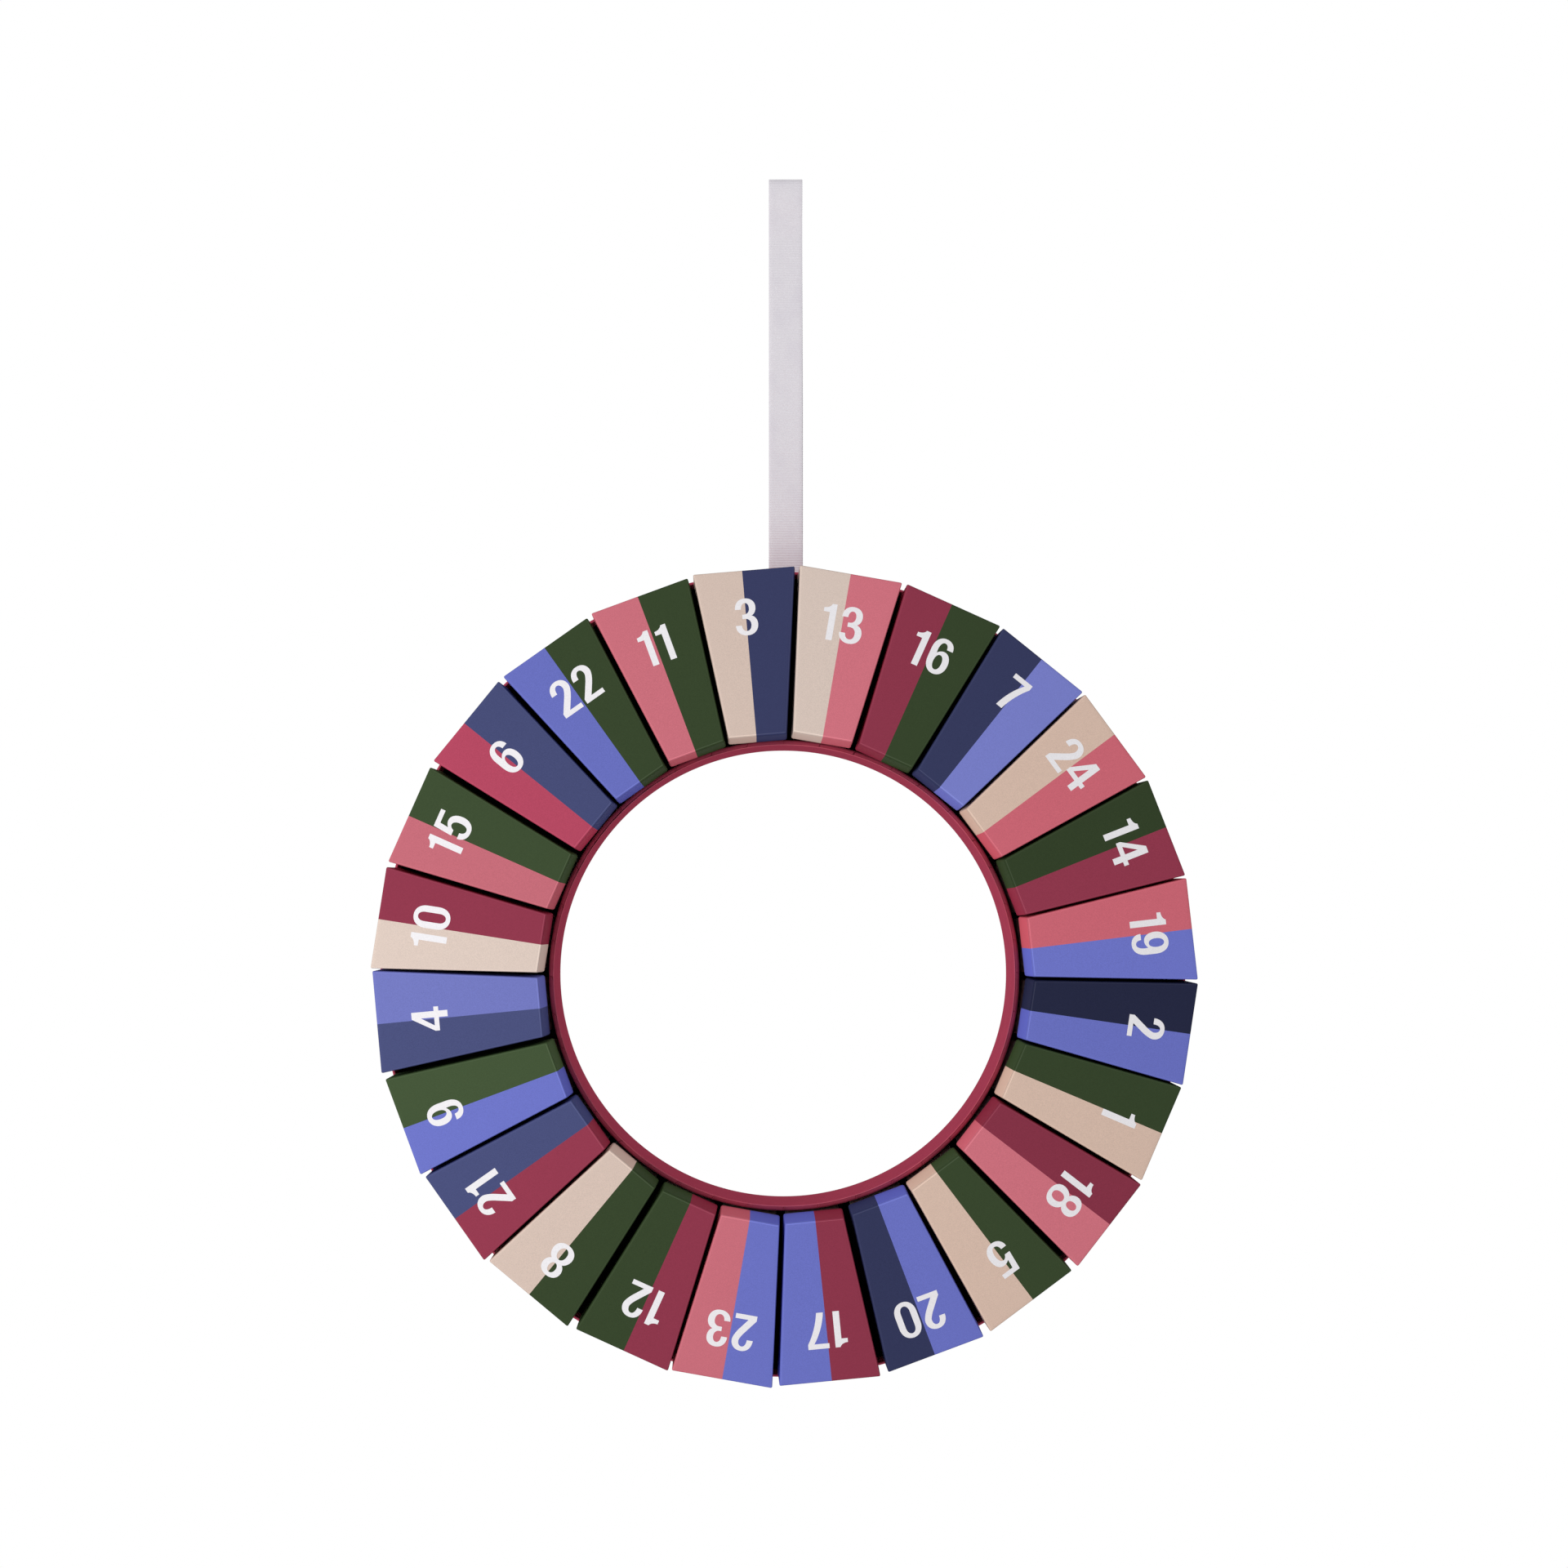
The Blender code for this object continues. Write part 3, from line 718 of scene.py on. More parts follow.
# %% Figures
FIGURE_HEIGHT = 16.9 * MM
INK_LIFT = 0.04 * MM
BEND_SHARE = 0.60
FIGURE_GAP_SHARE = 0.122
AFTER_ONE_SHARE = 0.165
BEFORE_ONE_SHARE = 0.081
TWO_FOUR_SHARE = 0.058
FIGURE_SHARES = {
    "0": [
        [(0.3115, 1.012), (0.623, 1.012, 0.623, 0.66), (0.623, 0.34), (0.623, -0.012, 0.3115, -0.012),
         (0.0, -0.012, 0.0, 0.34), (0.0, 0.66), (0.0, 1.012, 0.3115, 1.012)],
        [(0.3115, 0.888), (0.443, 0.888, 0.443, 0.70), (0.443, 0.30), (0.443, 0.112, 0.3115, 0.112),
         (0.18, 0.112, 0.18, 0.30), (0.18, 0.70), (0.18, 0.888, 0.3115, 0.888)],
    ],
    "1": [
        [(0.215, 1.0), (0.352, 1.0), (0.352, 0.0), (0.172, 0.0), (0.172, 0.766), (0.0, 0.766), (0.0, 0.876),
         (0.185, 0.884, 0.215, 1.0)],
    ],
    "2": [
        [(0.0, 0.0), (0.595, 0.0), (0.595, 0.133), (0.2285, 0.133), (0.43, 0.395), (0.595, 0.61, 0.595, 0.737),
         (0.595, 1.012, 0.303, 1.012), (0.012, 1.012, 0.012, 0.69), (0.18, 0.69),
         (0.18, 0.889, 0.297, 0.889), (0.408, 0.889, 0.408, 0.737), (0.408, 0.666, 0.28, 0.50), (0.0, 0.137)],
    ],
    "3": [
        [(0.01, 0.712), (0.01, 1.012, 0.295, 1.012), (0.58, 1.012, 0.58, 0.752), (0.58, 0.58, 0.456, 0.527),
         (0.619, 0.48, 0.619, 0.288), (0.619, -0.012, 0.31, -0.012), (0.0, -0.012, 0.0, 0.27), (0.17, 0.27),
         (0.17, 0.108, 0.30, 0.108), (0.432, 0.108, 0.432, 0.285), (0.432, 0.448, 0.27, 0.448), (0.199, 0.448),
         (0.199, 0.568), (0.25, 0.568), (0.40, 0.568, 0.40, 0.73), (0.40, 0.885, 0.293, 0.885),
         (0.18, 0.885, 0.178, 0.712)],
    ],
    "4": [
        [(0.359, 1.0), (0.547, 1.0), (0.547, 0.378), (0.668, 0.378), (0.668, 0.246), (0.547, 0.246), (0.547, 0.0),
         (0.371, 0.0), (0.371, 0.246), (0.0, 0.246), (0.0, 0.37)],
        [(0.371, 0.747), (0.147, 0.378), (0.371, 0.378)],
    ],
    "5": [
        [(0.072, 1.0), (0.583, 1.0), (0.583, 0.868), (0.223, 0.868), (0.192, 0.62),
         (0.27, 0.693, 0.372, 0.693), (0.612, 0.693, 0.612, 0.345), (0.612, -0.012, 0.30, -0.012),
         (0.0, -0.012, 0.0, 0.273), (0.17, 0.273), (0.17, 0.113, 0.30, 0.113), (0.425, 0.113, 0.425, 0.345),
         (0.425, 0.5635, 0.30, 0.5635), (0.215, 0.5635, 0.18, 0.453), (0.017, 0.453)],
    ],
    "6": [
        [(0.5885, 0.737), (0.4167, 0.737), (0.4167, 0.89, 0.305, 0.89), (0.18, 0.89, 0.18, 0.66), (0.185, 0.56),
         (0.26, 0.659, 0.375, 0.659), (0.608, 0.659, 0.608, 0.34), (0.608, -0.012, 0.304, -0.012),
         (0.0, -0.012, 0.0, 0.36), (0.0, 0.64), (0.0, 1.012, 0.305, 1.012), (0.5885, 1.012, 0.5885, 0.737)],
        [(0.305, 0.537), (0.426, 0.537, 0.426, 0.325), (0.426, 0.113, 0.305, 0.113),
         (0.185, 0.113, 0.185, 0.325), (0.185, 0.537, 0.305, 0.537)],
    ],
    "7": [
        [(0.0, 1.0), (0.588, 1.0), (0.588, 0.862), (0.337, 0.46, 0.286, 0.0), (0.097, 0.0),
         (0.15, 0.49, 0.415, 0.862), (0.0, 0.862)],
    ],
    "8": [
        [(0.325, 1.012), (0.628, 1.012, 0.628, 0.756), (0.628, 0.60, 0.505, 0.537), (0.649, 0.46, 0.649, 0.268),
         (0.649, -0.012, 0.325, -0.012), (0.0, -0.012, 0.0, 0.268), (0.0, 0.46, 0.145, 0.537),
         (0.022, 0.60, 0.022, 0.756), (0.022, 1.012, 0.325, 1.012)],
        [(0.325, 0.895), (0.436, 0.895, 0.436, 0.745), (0.436, 0.59, 0.325, 0.59), (0.206, 0.59, 0.206, 0.745),
         (0.206, 0.895, 0.325, 0.895)],
        [(0.325, 0.468), (0.463, 0.468, 0.463, 0.285), (0.463, 0.105, 0.325, 0.105),
         (0.187, 0.105, 0.187, 0.285), (0.187, 0.468, 0.325, 0.468)],
    ],
}


def turned_half(contours, width):
    """The figure turned half round inside its own box."""
    turned = []
    for contour in contours:
        path = [tuple(width - value if i % 2 == 0 else 1 - value for i, value in enumerate(step))
                for step in contour]
        turned.append(path)
    return turned


FIGURE_SHARES["9"] = turned_half(FIGURE_SHARES["6"], 0.608)


def figure_width(figure):
    return max(step[-2] for step in FIGURE_SHARES[figure][0])


def gap_share(first, second):
    if first == "1":
        return AFTER_ONE_SHARE
    if second == "1":
        return BEFORE_ONE_SHARE
    return TWO_FOUR_SHARE if second == "4" else FIGURE_GAP_SHARE


# %% Draw a number
def add_contour(outline, contour, offset):
    """One closed spline through the contour's points, moved across by an offset, in metres."""
    spline = outline.splines.new("BEZIER")
    closed = len(contour[-1]) == 4 and contour[-1][2:] == contour[0]
    ends = contour[:-1] if closed else contour
    spline.bezier_points.add(len(ends) - 1)
    spline.use_cyclic_u = True

    def spot(x, y):
        return Vector((offset + x * FIGURE_HEIGHT, y * FIGURE_HEIGHT, 0.0))

    for i, step in enumerate(ends):
        here = spot(*step[-2:])
        point = spline.bezier_points[i]
        point.co = here
        point.handle_left_type = point.handle_right_type = "FREE"
        arriving = step if len(step) == 4 else (contour[-1] if closed and i == 0 else None)
        leaving = contour[i + 1] if i + 1 < len(contour) else contour[0]
        for step_there, side in ((arriving, "handle_left"), (leaving, "handle_right")):
            reach = here
            if step_there is not None and len(step_there) == 4:
                reach = here.lerp(spot(*step_there[:2]), BEND_SHARE)
            setattr(point, side, reach)


def number_outline(number):
    """The figures of a number side by side, as a flat curve whose middle is at the origin."""
    figures = str(int(number))
    outline = bpy.data.curves.new("number_" + number, "CURVE")
    outline.dimensions = "2D"
    outline.fill_mode = "BOTH"
    outline.extrude = INK_LIFT
    outline.resolution_u = 8
    places = [0.0]
    for first, second in zip(figures, figures[1:]):
        places.append(places[-1] + figure_width(first) + gap_share(first, second))
    width = places[-1] + figure_width(figures[-1])
    for figure, place in zip(figures, places):
        for contour in FIGURE_SHARES[figure]:
            add_contour(outline, contour, (place - width / 2) * FIGURE_HEIGHT)
    return outline


print("widths of the figures:", {figure: round(figure_width(figure), 3) for figure in sorted(FIGURE_SHARES)})

# %% [markdown]
# White ink on matte card is not pure white: the colour below greys it a little, and it is smoother than the card.

# %% White ink
def white_ink():
    finish = Finish("white_ink")
    place = finish.place()
    spots = finish.grain(SPOT_SIZE, 3.0, place)
    tone = finish.mixed(spots.smooth(0.3, 0.7), colour(0.79, 0.765, 0.78), colour(0.86, 0.835, 0.85))
    finish.shader.inputs["Specular IOR Level"].default_value = MATTE_GLOSS
    return finish.paint(Base_Color=tone, Roughness=0.45 + spots * 0.1, Normal=finish.bump(spots, FIBRE_DEPTH, 0.4))


WHITE_INK = white_ink()

# %% Numbers on the lids
for number, (_, _, _, _, aside, from_outer_end) in PRINTS.items():
    outline = bpy.data.objects.new("number_" + number, number_outline(number))
    bpy.context.scene.collection.objects.link(outline)
    mesh = baked_mesh(outline)
    bpy.data.objects.remove(outline)
    blank, seat = blanks[number]
    middle_along = blank.length / 2 - from_outer_end * MM
    for vertex in mesh.vertices:
        across = vertex.co.x + aside * MM
        along = vertex.co.y - FIGURE_HEIGHT / 2 + middle_along
        level = blank.face_level(across, along) - vertex.co.z
        vertex.co = (across, level, along)
    mesh.transform(seat)
    mesh.materials.append(WHITE_INK)
    print_piece = bpy.data.objects.new("number_print_" + number, mesh)
    bpy.context.scene.collection.objects.link(print_piece)
    weld = print_piece.modifiers.new("join_caps", "WELD")
    weld.merge_threshold = INK_LIFT / 10
    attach(print_piece, f"lid_{number}")

# %% [markdown]
# The rings are turned shapes, but none of them is quite plain: the paper on them is nicked, pleated and lifts in
# places. So a ring here is a loop of sections, each a closed outline of radius and level that may change with the
# angle.

# %% Rings from changing sections
def ring(name, angles, section, *materials, second=()):
    """A closed ring about the wreath's middle. section(angle) gives its outline as (radius, level along Y).

    The strips of the outline whose places are in second get the second material.
    """
    shape = bmesh.new()
    loops = []
    for angle in angles:
        loop = []
        for radius, level in section(angle):
            loop.append(shape.verts.new((MIDDLE.x + radius * math.sin(angle), level,
                                         MIDDLE.z + radius * math.cos(angle))))
        loops.append(loop)
    for near, far in zip(loops, loops[1:] + loops[:1]):
        for i in range(len(near)):
            j = (i + 1) % len(near)
            face = shape.faces.new((near[i], near[j], far[j], far[i]))
            face.material_index = 1 if i in second else 0
    bmesh.ops.recalc_face_normals(shape, faces=shape.faces)
    mesh = bpy.data.meshes.new(name)
    for material in materials:
        mesh.materials.append(material)
    shape.to_mesh(mesh)
    shape.free()
    smooth(mesh)
    piece = bpy.data.objects.new(name, mesh)
    bpy.context.scene.collection.objects.link(piece)
    return piece


def even_angles(steps):
    return [2 * math.pi * step / steps for step in range(steps)]


def ripple(angle, waves, seed):
    """Smooth noise round the ring, from -1 to 1."""
    return noise.noise(Vector((math.sin(angle) * waves, math.cos(angle) * waves, seed)))


# %% [markdown]
# One crimson paper covers the whole tray. It is dyed through and softly fibrous, with faint darker clouds.

# %% Crimson paper
PAPER_GLOSS = 0.0


def covering_paper(name, tone, roughness):
    finish = Finish(name)
    place = finish.place()
    fibres = finish.grain(0.4 * MM, 4.0, place)
    clouds = finish.grain(9.0 * MM, 3.0, place)
    face = finish.mixed(fibres.smooth(0.3, 0.7), shade(tone, 0.90), shade(tone, 1.08))
    face = finish.mixed(clouds.smooth(0.35, 0.75) * 0.5, face, shade(tone, 0.88))
    finish.shader.inputs["Specular IOR Level"].default_value = PAPER_GLOSS
    return finish.paint(Base_Color=face, Roughness=roughness + fibres * 0.1,
                        Normal=finish.bump(fibres, 0.03 * MM, 0.5))


CRIMSON_PAPER = covering_paper("crimson_paper", colour(0.43, 0.060, 0.105), 0.50)
LINER_PAPER = covering_paper("liner_paper", colour(0.36, 0.050, 0.090), 0.60)
# Near-black card: painted shade for the deep gaps, on the tray's floor and the outer wall's inside.
GAP_SHADE_CARD = covering_paper("gap_shade_card", colour(0.010, 0.009, 0.010), 0.80)

# %% [markdown]
# The inner wall is a bent strip of board. Its outer wrap is drawn over the rim in short tabs, because paper can't
# follow a curved edge otherwise: each tab laps the next by a hair and leaves a slanting step with a nick beside it,
# every nine degrees. A fine groove runs where the wrap goes in under the lining strip. The lining's front edge is
# painted a lighter crimson, a painted highlight that makes the bright ridge at the rim. The lining lifts a little at
# the upper left. To match the photograph, the dressed wall lies eight tenths of a millimetre low and to the right of
# the imported one.

# %% Inner wall's wrap
WRAP_INNER = 110.95 * MM
WRAP_ROUND = 2.1 * MM
WRAP_GROOVE = 0.28 * MM
GROOVE_WANDER = 0.06 * MM
GROOVE_FRONT = 0.04 * MM
GROOVE_BACK = 0.9 * MM
GROOVE_FOOT = 0.03 * MM
WRAP_RIPPLE = 0.03 * MM
WRAP_STEPS = 9
WALL_OFF_CENTRE = Vector((0.6 * MM, 0.0, -0.5 * MM))
TABS = 40
TAB_STEP = 0.40 * MM
TAB_SLANT = 1.3 * MM
TAB_LAP = 1.1 * MM
TAB_FALL = 0.15 * MM
TAB_NICK = 0.45 * MM
NICK_DEPTH = 0.45 * MM
NEAR_TAB = [-1.1 * MM, -0.8 * MM, -0.55 * MM, -0.35 * MM, -0.2 * MM, -0.1 * MM, 0.0, 0.1 * MM, 0.2 * MM, 0.35 * MM,
            0.55 * MM, 0.8 * MM]

draw = random.Random(9)
tab_angles = [2 * math.pi * (tab + draw.uniform(-0.08, 0.08)) / TABS for tab in range(TABS)]
tab_sizes = [draw.uniform(0.5, 1.3) for _ in range(TABS)]
tab_slants = [draw.uniform(0.4, 1.0) for _ in range(TABS)]
angles_here = even_angles(240)
for tab_angle in tab_angles:
    angles_here += [(tab_angle + offset / WALL_OUTSIDE) % (2 * math.pi) for offset in NEAR_TAB]
wrap_angles = sorted(set(angles_here))


def tab_height(angle, share):
    """How far the wrap stands up at an angle, a share of the way from the hole's edge to the outer side."""
    height = 0.0
    for tab_angle, size, slant in zip(tab_angles, tab_sizes, tab_slants):
        apart = (angle - tab_angle + math.pi) % (2 * math.pi) - math.pi
        past = apart * WALL_OUTSIDE - slant * TAB_SLANT * (share - 0.5)
        if -TAB_LAP < past <= 0.0:
            height = max(height, size * TAB_STEP * (1 + past / TAB_LAP))
        elif 0.0 < past < TAB_NICK:
            height = -size * NICK_DEPTH * min(past / TAB_FALL, (TAB_NICK - past) / (TAB_NICK - TAB_FALL))
    return height


def wrap_section(angle):
    outline = [(WALL_OUTSIDE, LINER_BACK), (WALL_OUTSIDE, BOARD_FRONT)]
    for step in range(WRAP_STEPS + 1):
        share = 1 - step / WRAP_STEPS
        turn = math.pi / 2 * share
        lift = tab_height(angle, share) + WRAP_RIPPLE * ripple(angle + share, 40, 2.0)
        radius = WALL_OUTSIDE - (WRAP_ROUND - lift) * (1 - math.sin(turn))
        level = TRAY_RIM + WRAP_ROUND * (1 - math.cos(turn)) - lift * math.cos(turn) + TAB_STEP
        outline.append((radius, level))
    wander = GROOVE_WANDER * ripple(angle, 35, 14.0)
    outline.append((WRAP_INNER + WRAP_GROOVE + wander, TRAY_RIM + TAB_STEP + GROOVE_FRONT))
    outline.append((WRAP_INNER + GROOVE_FOOT, TRAY_RIM + TAB_STEP + GROOVE_BACK))
    outline.append((WRAP_INNER, LINER_BACK))
    return outline


wrap = ring("wall_wrap", wrap_angles, wrap_section, CRIMSON_PAPER)
wrap.data.transform(Matrix.Translation(WALL_OFF_CENTRE))
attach(wrap, "wreath")
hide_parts("inner_wall")
print("sections of the wrap:", len(wrap_angles))

# %% Inner wall's lining
LINING_THICK = 0.42 * MM
LINING_LIFT = 0.35 * MM
LIFT_PLACE = math.radians(312)
LIFT_REACH = math.radians(20)
HOLE_RADIUS = 110.5 * MM
LINING_LINES = [(6.5 * MM, 0.08 * MM), (11.5 * MM, 0.05 * MM)]
LINING_DEPTHS = [0.0, 0.5 * MM, 1.5 * MM, 3.0 * MM, 5.0 * MM, 6.2 * MM, 6.8 * MM, 9.0 * MM, 11.2 * MM, 11.8 * MM,
                 16.0 * MM, 24.0 * MM, 33.5 * MM]
LINING_INSET = 0.13 * MM
LINING_FOOT_INSET = 0.12 * MM
LINING_PLAY = 0.02 * MM
LIFT_FADE = 4.0 * MM


def lining_section(angle):
    apart = (angle - LIFT_PLACE + math.pi) % (2 * math.pi) - math.pi
    lifted = LINING_LIFT * math.exp(-(apart / LIFT_REACH) ** 2) * (1.0 + 0.35 * ripple(angle, 30, 5.0))
    front = TRAY_RIM + 0.06 * MM * ripple(angle, 25, 8.0)
    inner = []
    outer = []
    for depth in LINING_DEPTHS:
        level = min(front + depth, LINER_BACK)
        stand = lifted * math.exp(-depth / LIFT_FADE)
        step = sum(height for line, height in LINING_LINES if depth < line)
        wave = 0.04 * MM * ripple(angle, 18, 11.0 + depth / (8.0 * MM))
        radius = HOLE_RADIUS + LINING_INSET - step - stand + wave
        inner.append((radius, level))
        outer.append((min(radius + LINING_THICK, WRAP_INNER - LINING_PLAY), level))
    inner.append((HOLE_RADIUS + LINING_FOOT_INSET, LINER_BACK))
    outer.append((WRAP_INNER - LINING_PLAY, LINER_BACK))
    return inner + list(reversed(outer))


# The lining's front strip takes a lighter crimson: a painted highlight along the ridge.
LINING_RIDGE_HIGHLIGHT = covering_paper("crimson_ridge_highlight", colour(0.60, 0.115, 0.170), 0.60)
lining_front_strip = 2 * (len(LINING_DEPTHS) + 1) - 1
lining = ring("wall_lining", even_angles(480), lining_section, CRIMSON_PAPER, LINING_RIDGE_HIGHLIGHT,
              second=(lining_front_strip,))
lining.data.transform(Matrix.Translation(WALL_OFF_CENTRE))
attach(lining, "wreath")

# %% [markdown]
# The outer wall stands on the floor's margin, with its paper drawn over the rim and turned in. A thin crimson
# strip of it shows past the end of every gap. Deeper in, the wall's inside below the turn-in and the floor's front
# are near-black card: painted shade for the deep, narrow gaps between the boxes.

# %% Outer wall, floor and liner
OUTER_WALL_INSIDE = BOARD_RADIUS - 1.3 * MM
OUTER_ROUND = 0.55 * MM
FLOOR_ROUND = 0.7 * MM
TURN_IN_DEPTH = 12.0 * MM


def outer_wall_section(angle):
    """Its turned-in paper ends in a wavering edge on the inner side."""
    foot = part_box("outer_wall")[1].y
    wave = 0.04 * MM * ripple(angle, 30, 6.0)
    turn_in = TRAY_RIM + TURN_IN_DEPTH + 1.0 * MM * ripple(angle, 22, 3.0)
    outline = [(OUTER_WALL_INSIDE + 0.15 * MM, foot), (OUTER_WALL_INSIDE + 0.15 * MM, turn_in + 0.05 * MM),
               (OUTER_WALL_INSIDE, turn_in)]
    steps = 4
    for step in range(steps + 1):
        turn = math.pi / 2 * (1 - step / steps)
        outline.append((OUTER_WALL_INSIDE + OUTER_ROUND * (1 - math.sin(turn)) + wave,
                        TRAY_RIM + 0.04 * MM + OUTER_ROUND * (1 - math.cos(turn)) + wave))
    for step in range(steps + 1):
        turn = math.pi / 2 * step / steps
        outline.append((BOARD_RADIUS - OUTER_ROUND * (1 - math.sin(turn)),
                        TRAY_RIM + 0.04 * MM + OUTER_ROUND * (1 - math.cos(turn)) + wave))
    outline.append((BOARD_RADIUS, foot))
    return outline


# The inside of the outer wall below its turn-in takes the near-black card, as painted shade.
outer_wall = ring("outer_wall_covered", even_angles(720), outer_wall_section, CRIMSON_PAPER, GAP_SHADE_CARD,
                  second=(0, 1))
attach(outer_wall, "wreath")
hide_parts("outer_wall")


def floor_section(angle):
    back = board_high.y
    inside = WALL_OUTSIDE + (BOARD_FRONT - cup_high.y)
    outline = [(inside, back), (inside, BOARD_FRONT), (BOARD_RADIUS, BOARD_FRONT)]
    steps = 5
    for step in range(steps + 1):
        turn = math.pi / 2 * (1 - step / steps)
        outline.append((BOARD_RADIUS - FLOOR_ROUND * (1 - math.sin(turn)),
                        back - FLOOR_ROUND * (1 - math.cos(turn)) + 0.02 * MM * ripple(angle, 30, 9.0)))
    return outline


# The floor's inner edge and front take the near-black card, as painted shade.
tray_floor = ring("tray_floor", even_angles(360), floor_section, CRIMSON_PAPER, GAP_SHADE_CARD, second=(0, 1))
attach(tray_floor, "wreath")
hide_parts("base_board")

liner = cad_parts["back_liner"]
liner.data.materials.clear()
liner.data.materials.append(LINER_PAPER)

# %% [markdown]
# The ribbon is grosgrain: a close weave with firm cross ribs about 1.2 mm apart, sewn by nothing but folded over
# the hook, so its two layers hang together. In the photograph it hangs 1.7 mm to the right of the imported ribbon.

# %% Ribbon
RIBBON_WIDTH = ribbon_high.x - ribbon_low.x
RIBBON_THICK = 0.34 * MM
RIB_PITCH = 1.2 * MM
RIB_HEIGHT = 0.07 * MM
RIB_SAMPLES = 6
LOOP_RADIUS = 4.0 * MM
LOOP_LENGTH = 30.0 * MM
LAYER_APART = 0.9 * MM
RIBBON_RUN = 2.2 * MM
BACK_LAYER_DRIFT = 0.35 * MM
HANGS_TO_RIGHT = 1.7 * MM


def ribbon_layer(side):
    """Middle of one layer as (drift, y, z), from the top of the loop down to its end."""
    bend_radius = LOOP_RADIUS + RIBBON_THICK / 2
    run = RIBBON_RUN + side * LAYER_APART / 2
    path = []
    for step in range(17):
        turn = math.pi / 2 * (1 - step / 16)
        path.append(Vector((0.0, side * bend_radius * math.cos(turn), bend_radius * math.sin(turn) - LOOP_RADIUS)))
    for step in range(1, 25):
        share = step / 24
        ease = share * share * (3 - 2 * share)
        y = side * bend_radius + (run - side * bend_radius) * ease
        path.append(Vector((0.0, y, -LOOP_RADIUS - (LOOP_LENGTH - LOOP_RADIUS) * share)))
    path.append(Vector((0.0, run, ribbon_low.z)))
    return path


def walk(path, pitch):
    """Points every pitch along the path, with the length walked at each."""
    lengths = [0.0]
    for a, b in zip(path, path[1:]):
        lengths.append(lengths[-1] + (b - a).length)
    count = int(lengths[-1] / pitch)
    walked = []
    leg = 0
    for i in range(count + 1):
        distance = lengths[-1] * i / count
        while leg < len(path) - 2 and lengths[leg + 1] < distance:
            leg += 1
        share = (distance - lengths[leg]) / (lengths[leg + 1] - lengths[leg])
        walked.append((path[leg].lerp(path[leg + 1], share), distance))
    return walked, lengths[-1]


ribbon_path = list(reversed(ribbon_layer(-1)[1:])) + ribbon_layer(1)
points, ribbon_length = walk(ribbon_path, RIB_PITCH / RIB_SAMPLES)
print(f"ribbon: {ribbon_length / MM:.0f} mm long, {RIBBON_WIDTH / MM:.0f} mm wide")


def woven_paper_white():
    finish = Finish("grosgrain")
    place = finish.place()
    threads = finish.grain(0.3 * MM, 2.0, place)
    clouds = finish.grain(12.0 * MM, 2.0, place)
    tone = finish.mixed(threads.smooth(0.3, 0.7), colour(0.70, 0.66, 0.70), colour(0.80, 0.77, 0.80))
    tone = finish.mixed(clouds.smooth(0.4, 0.8) * 0.4, tone, colour(0.66, 0.62, 0.68))
    finish.shader.inputs["Sheen Weight"].default_value = 0.25
    finish.shader.inputs["Sheen Roughness"].default_value = 0.4
    return finish.paint(Base_Color=tone, Roughness=0.6 + threads * 0.1, Normal=finish.bump(threads, 0.03 * MM, 0.6))


def weave_ribbon(material):
    shape = bmesh.new()
    across_shares = [-1.0, -0.97, -0.75, -0.5, -0.25, 0.0, 0.25, 0.5, 0.75, 0.97, 1.0]
    rows = []
    for i, (here, distance) in enumerate(points):
        before = points[max(i - 1, 0)][0]
        after = points[min(i + 1, len(points) - 1)][0]
        along = (after - before).normalized()
        normal = Vector((0.0, -along.z, along.y))
        rib = math.cos(2 * math.pi * distance / RIB_PITCH)
        half_width = RIBBON_WIDTH / 2 - 0.05 * MM * (1 - rib)
        drift = BACK_LAYER_DRIFT * min(1.0, max(0.0, (distance / ribbon_length - 0.55) * 5))
        outer = []
        inner = []
        for share in across_shares:
            edge = 0.35 if abs(share) == 1.0 else 1.0
            half = (RIBBON_THICK / 2 + RIB_HEIGHT * rib) * edge
            side = Vector((share * half_width + drift + HANGS_TO_RIGHT, 0.0, 0.0))
            outer.append(shape.verts.new(here + side + normal * half))
            inner.append(shape.verts.new(here + side - normal * half))
        rows.append(outer + list(reversed(inner)))
    for near, far in zip(rows, rows[1:]):
        for i in range(len(near)):
            j = (i + 1) % len(near)
            shape.faces.new((near[i], near[j], far[j], far[i]))
    shape.faces.new(rows[0])
    shape.faces.new(list(reversed(rows[-1])))
    bmesh.ops.recalc_face_normals(shape, faces=shape.faces)
    mesh = bpy.data.meshes.new("grosgrain_ribbon")
    shape.to_mesh(mesh)
    shape.free()
    mesh.materials.append(material)
    smooth(mesh)
    piece = bpy.data.objects.new("grosgrain_ribbon", mesh)
    bpy.context.scene.collection.objects.link(piece)
    return piece


ribbon = weave_ribbon(woven_paper_white())
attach(ribbon, "wreath")
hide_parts("ribbon_loop")

# %% [markdown]
# The photograph's ground is pure white with soft light from all round, strongest from the front and the left. The
# world is white to the camera and to reflections, but lights the paper less, so that lamps can shape it.

# %% World
AMBIENT = 0.68


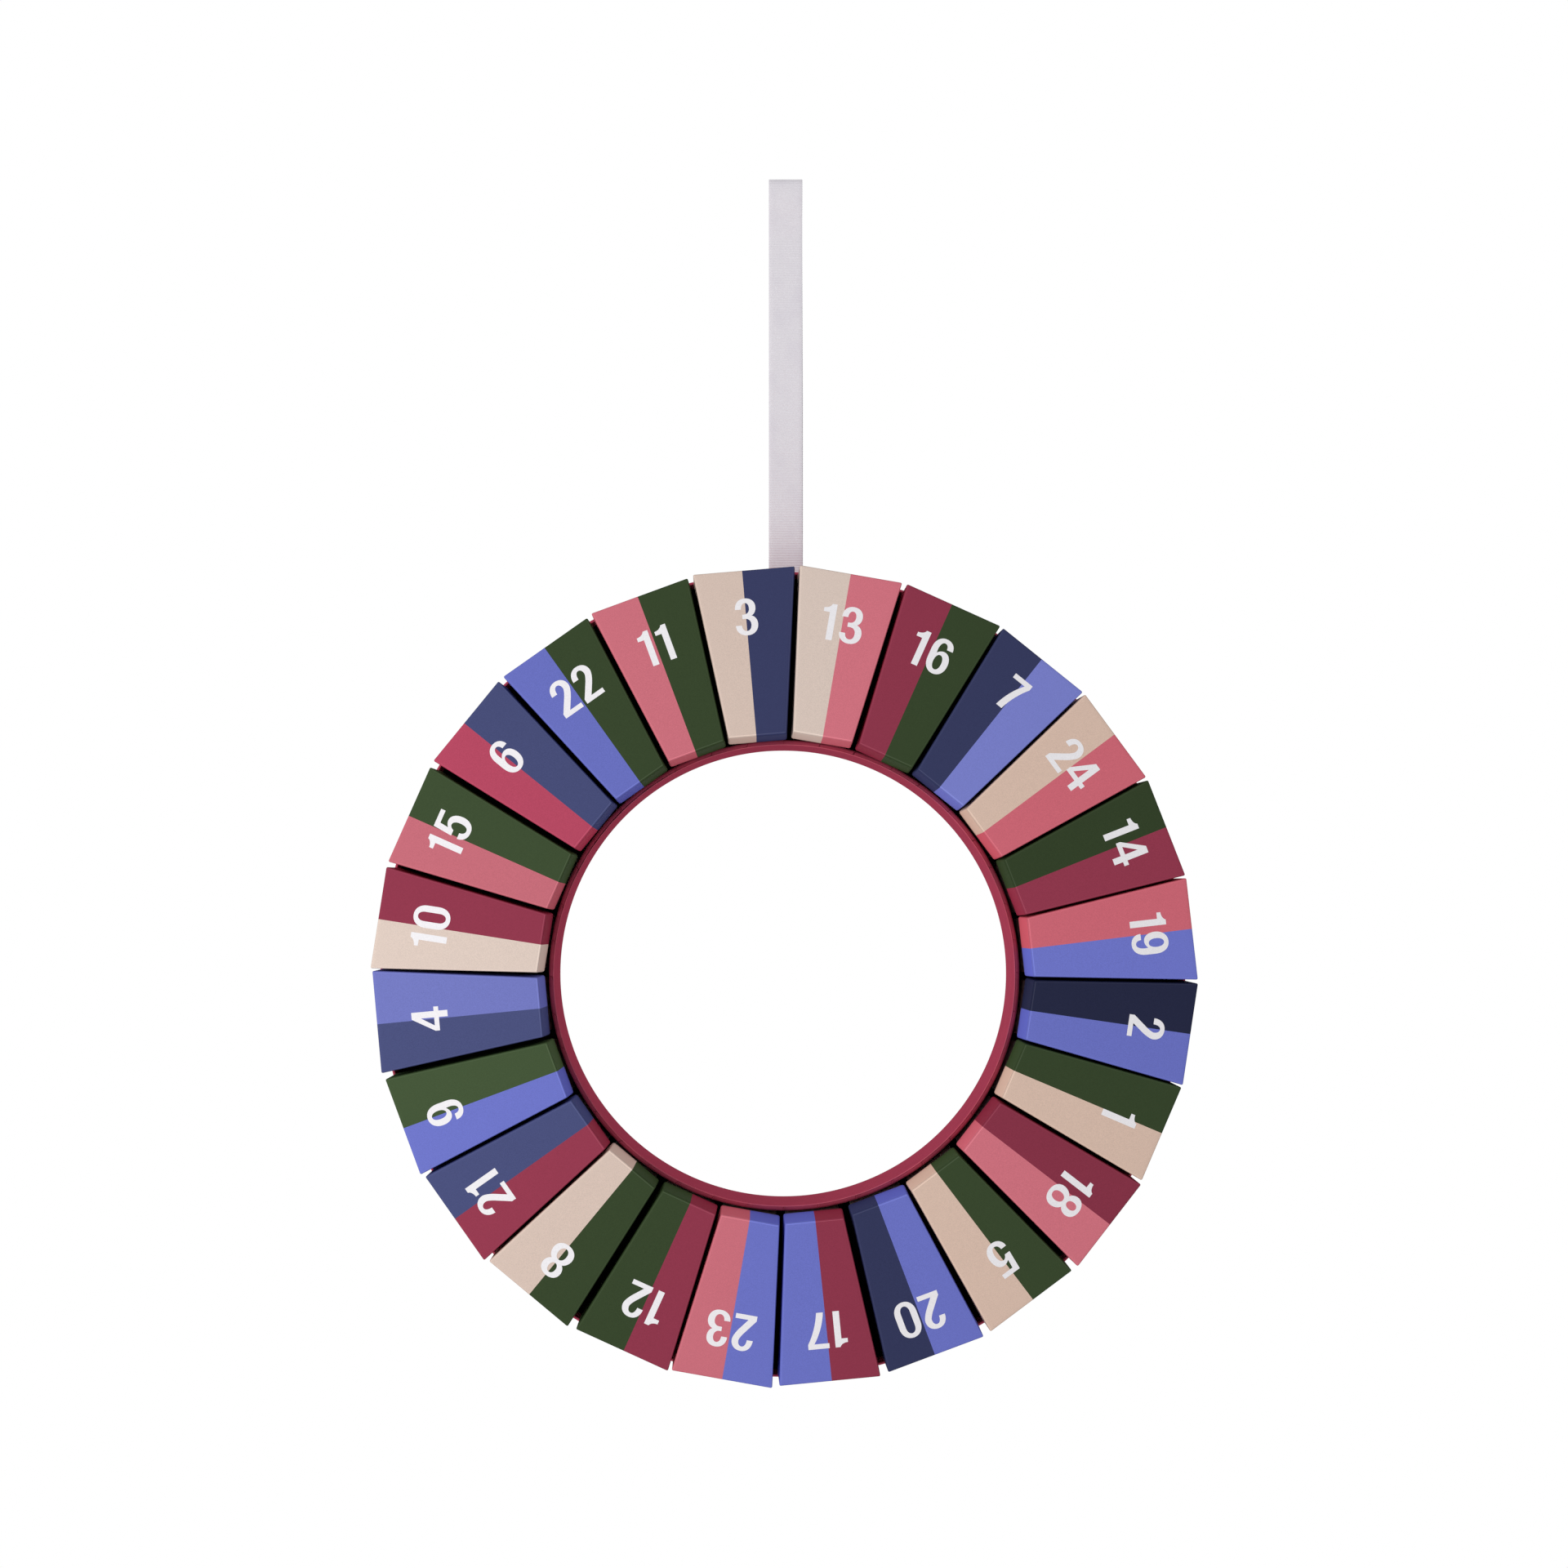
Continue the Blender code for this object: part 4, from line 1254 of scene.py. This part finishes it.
def white_studio():
    world = bpy.data.worlds.new("white_studio")
    world.use_nodes = True
    tree = world.node_tree
    tree.nodes.clear()
    path = tree.nodes.new("ShaderNodeLightPath")
    seen = path.outputs["Is Camera Ray"]
    for name in ("Is Glossy Ray", "Is Transmission Ray"):
        either = tree.nodes.new("ShaderNodeMath")
        either.operation = "MAXIMUM"
        tree.links.new(seen, either.inputs[0])
        tree.links.new(path.outputs[name], either.inputs[1])
        seen = either.outputs[0]
    lighting = tree.nodes.new("ShaderNodeBackground")
    lighting.inputs["Color"].default_value = colour(0.97, 0.98, 1.0)
    lighting.inputs["Strength"].default_value = AMBIENT
    ground = tree.nodes.new("ShaderNodeBackground")
    ground.inputs["Color"].default_value = colour(1.0, 1.0, 1.0)
    ground.inputs["Strength"].default_value = 1.0
    mix = tree.nodes.new("ShaderNodeMixShader")
    tree.links.new(seen, mix.inputs["Fac"])
    tree.links.new(lighting.outputs[0], mix.inputs[1])
    tree.links.new(ground.outputs[0], mix.inputs[2])
    output = tree.nodes.new("ShaderNodeOutputWorld")
    tree.links.new(mix.outputs[0], output.inputs["Surface"])
    return world


bpy.context.scene.world = white_studio()

# %% Lamps
def soft_lamp(name, place, size, power):
    data = bpy.data.lights.new(name, "AREA")
    data.shape = "DISK"
    data.size = size
    data.energy = power
    lamp = bpy.data.objects.new(name, data)
    lamp.location = place
    lamp.rotation_euler = (MIDDLE - Vector(place)).to_track_quat("-Z", "Y").to_euler()
    bpy.context.scene.collection.objects.link(lamp)
    return lamp


soft_lamp("key_from_left_front", (-0.55, -0.70, -0.40), 0.5, 2.4)
soft_lamp("top_left", (-0.60, -0.65, 0.00), 0.5, 0.7)
soft_lamp("low_from_left", (-0.95, -0.32, -0.42), 0.5, 1.0)

# %% Floor
FLOOR_LEVEL = -0.95
FLOOR_RADIUS = 0.75


def pale_floor():
    finish = Finish("pale_floor")
    mottle = finish.grain(0.2, 2.0)
    tone = finish.mixed(mottle.smooth(0.3, 0.7), colour(0.86, 0.86, 0.86), colour(0.88, 0.88, 0.88))
    material = finish.paint(Base_Color=tone, Roughness=0.8)
    mesh = bpy.data.meshes.new("floor")
    shape = bmesh.new()
    bmesh.ops.create_cone(shape, cap_ends=True, segments=96, radius1=FLOOR_RADIUS, radius2=FLOOR_RADIUS,
                          depth=10 * MM)
    shape.to_mesh(mesh)
    shape.free()
    mesh.materials.append(material)
    floor = bpy.data.objects.new("floor", mesh)
    floor.location = (0.0, -0.15, FLOOR_LEVEL)
    bpy.context.scene.collection.objects.link(floor)


pale_floor()
bpy.context.scene.view_settings.view_transform = "Standard"
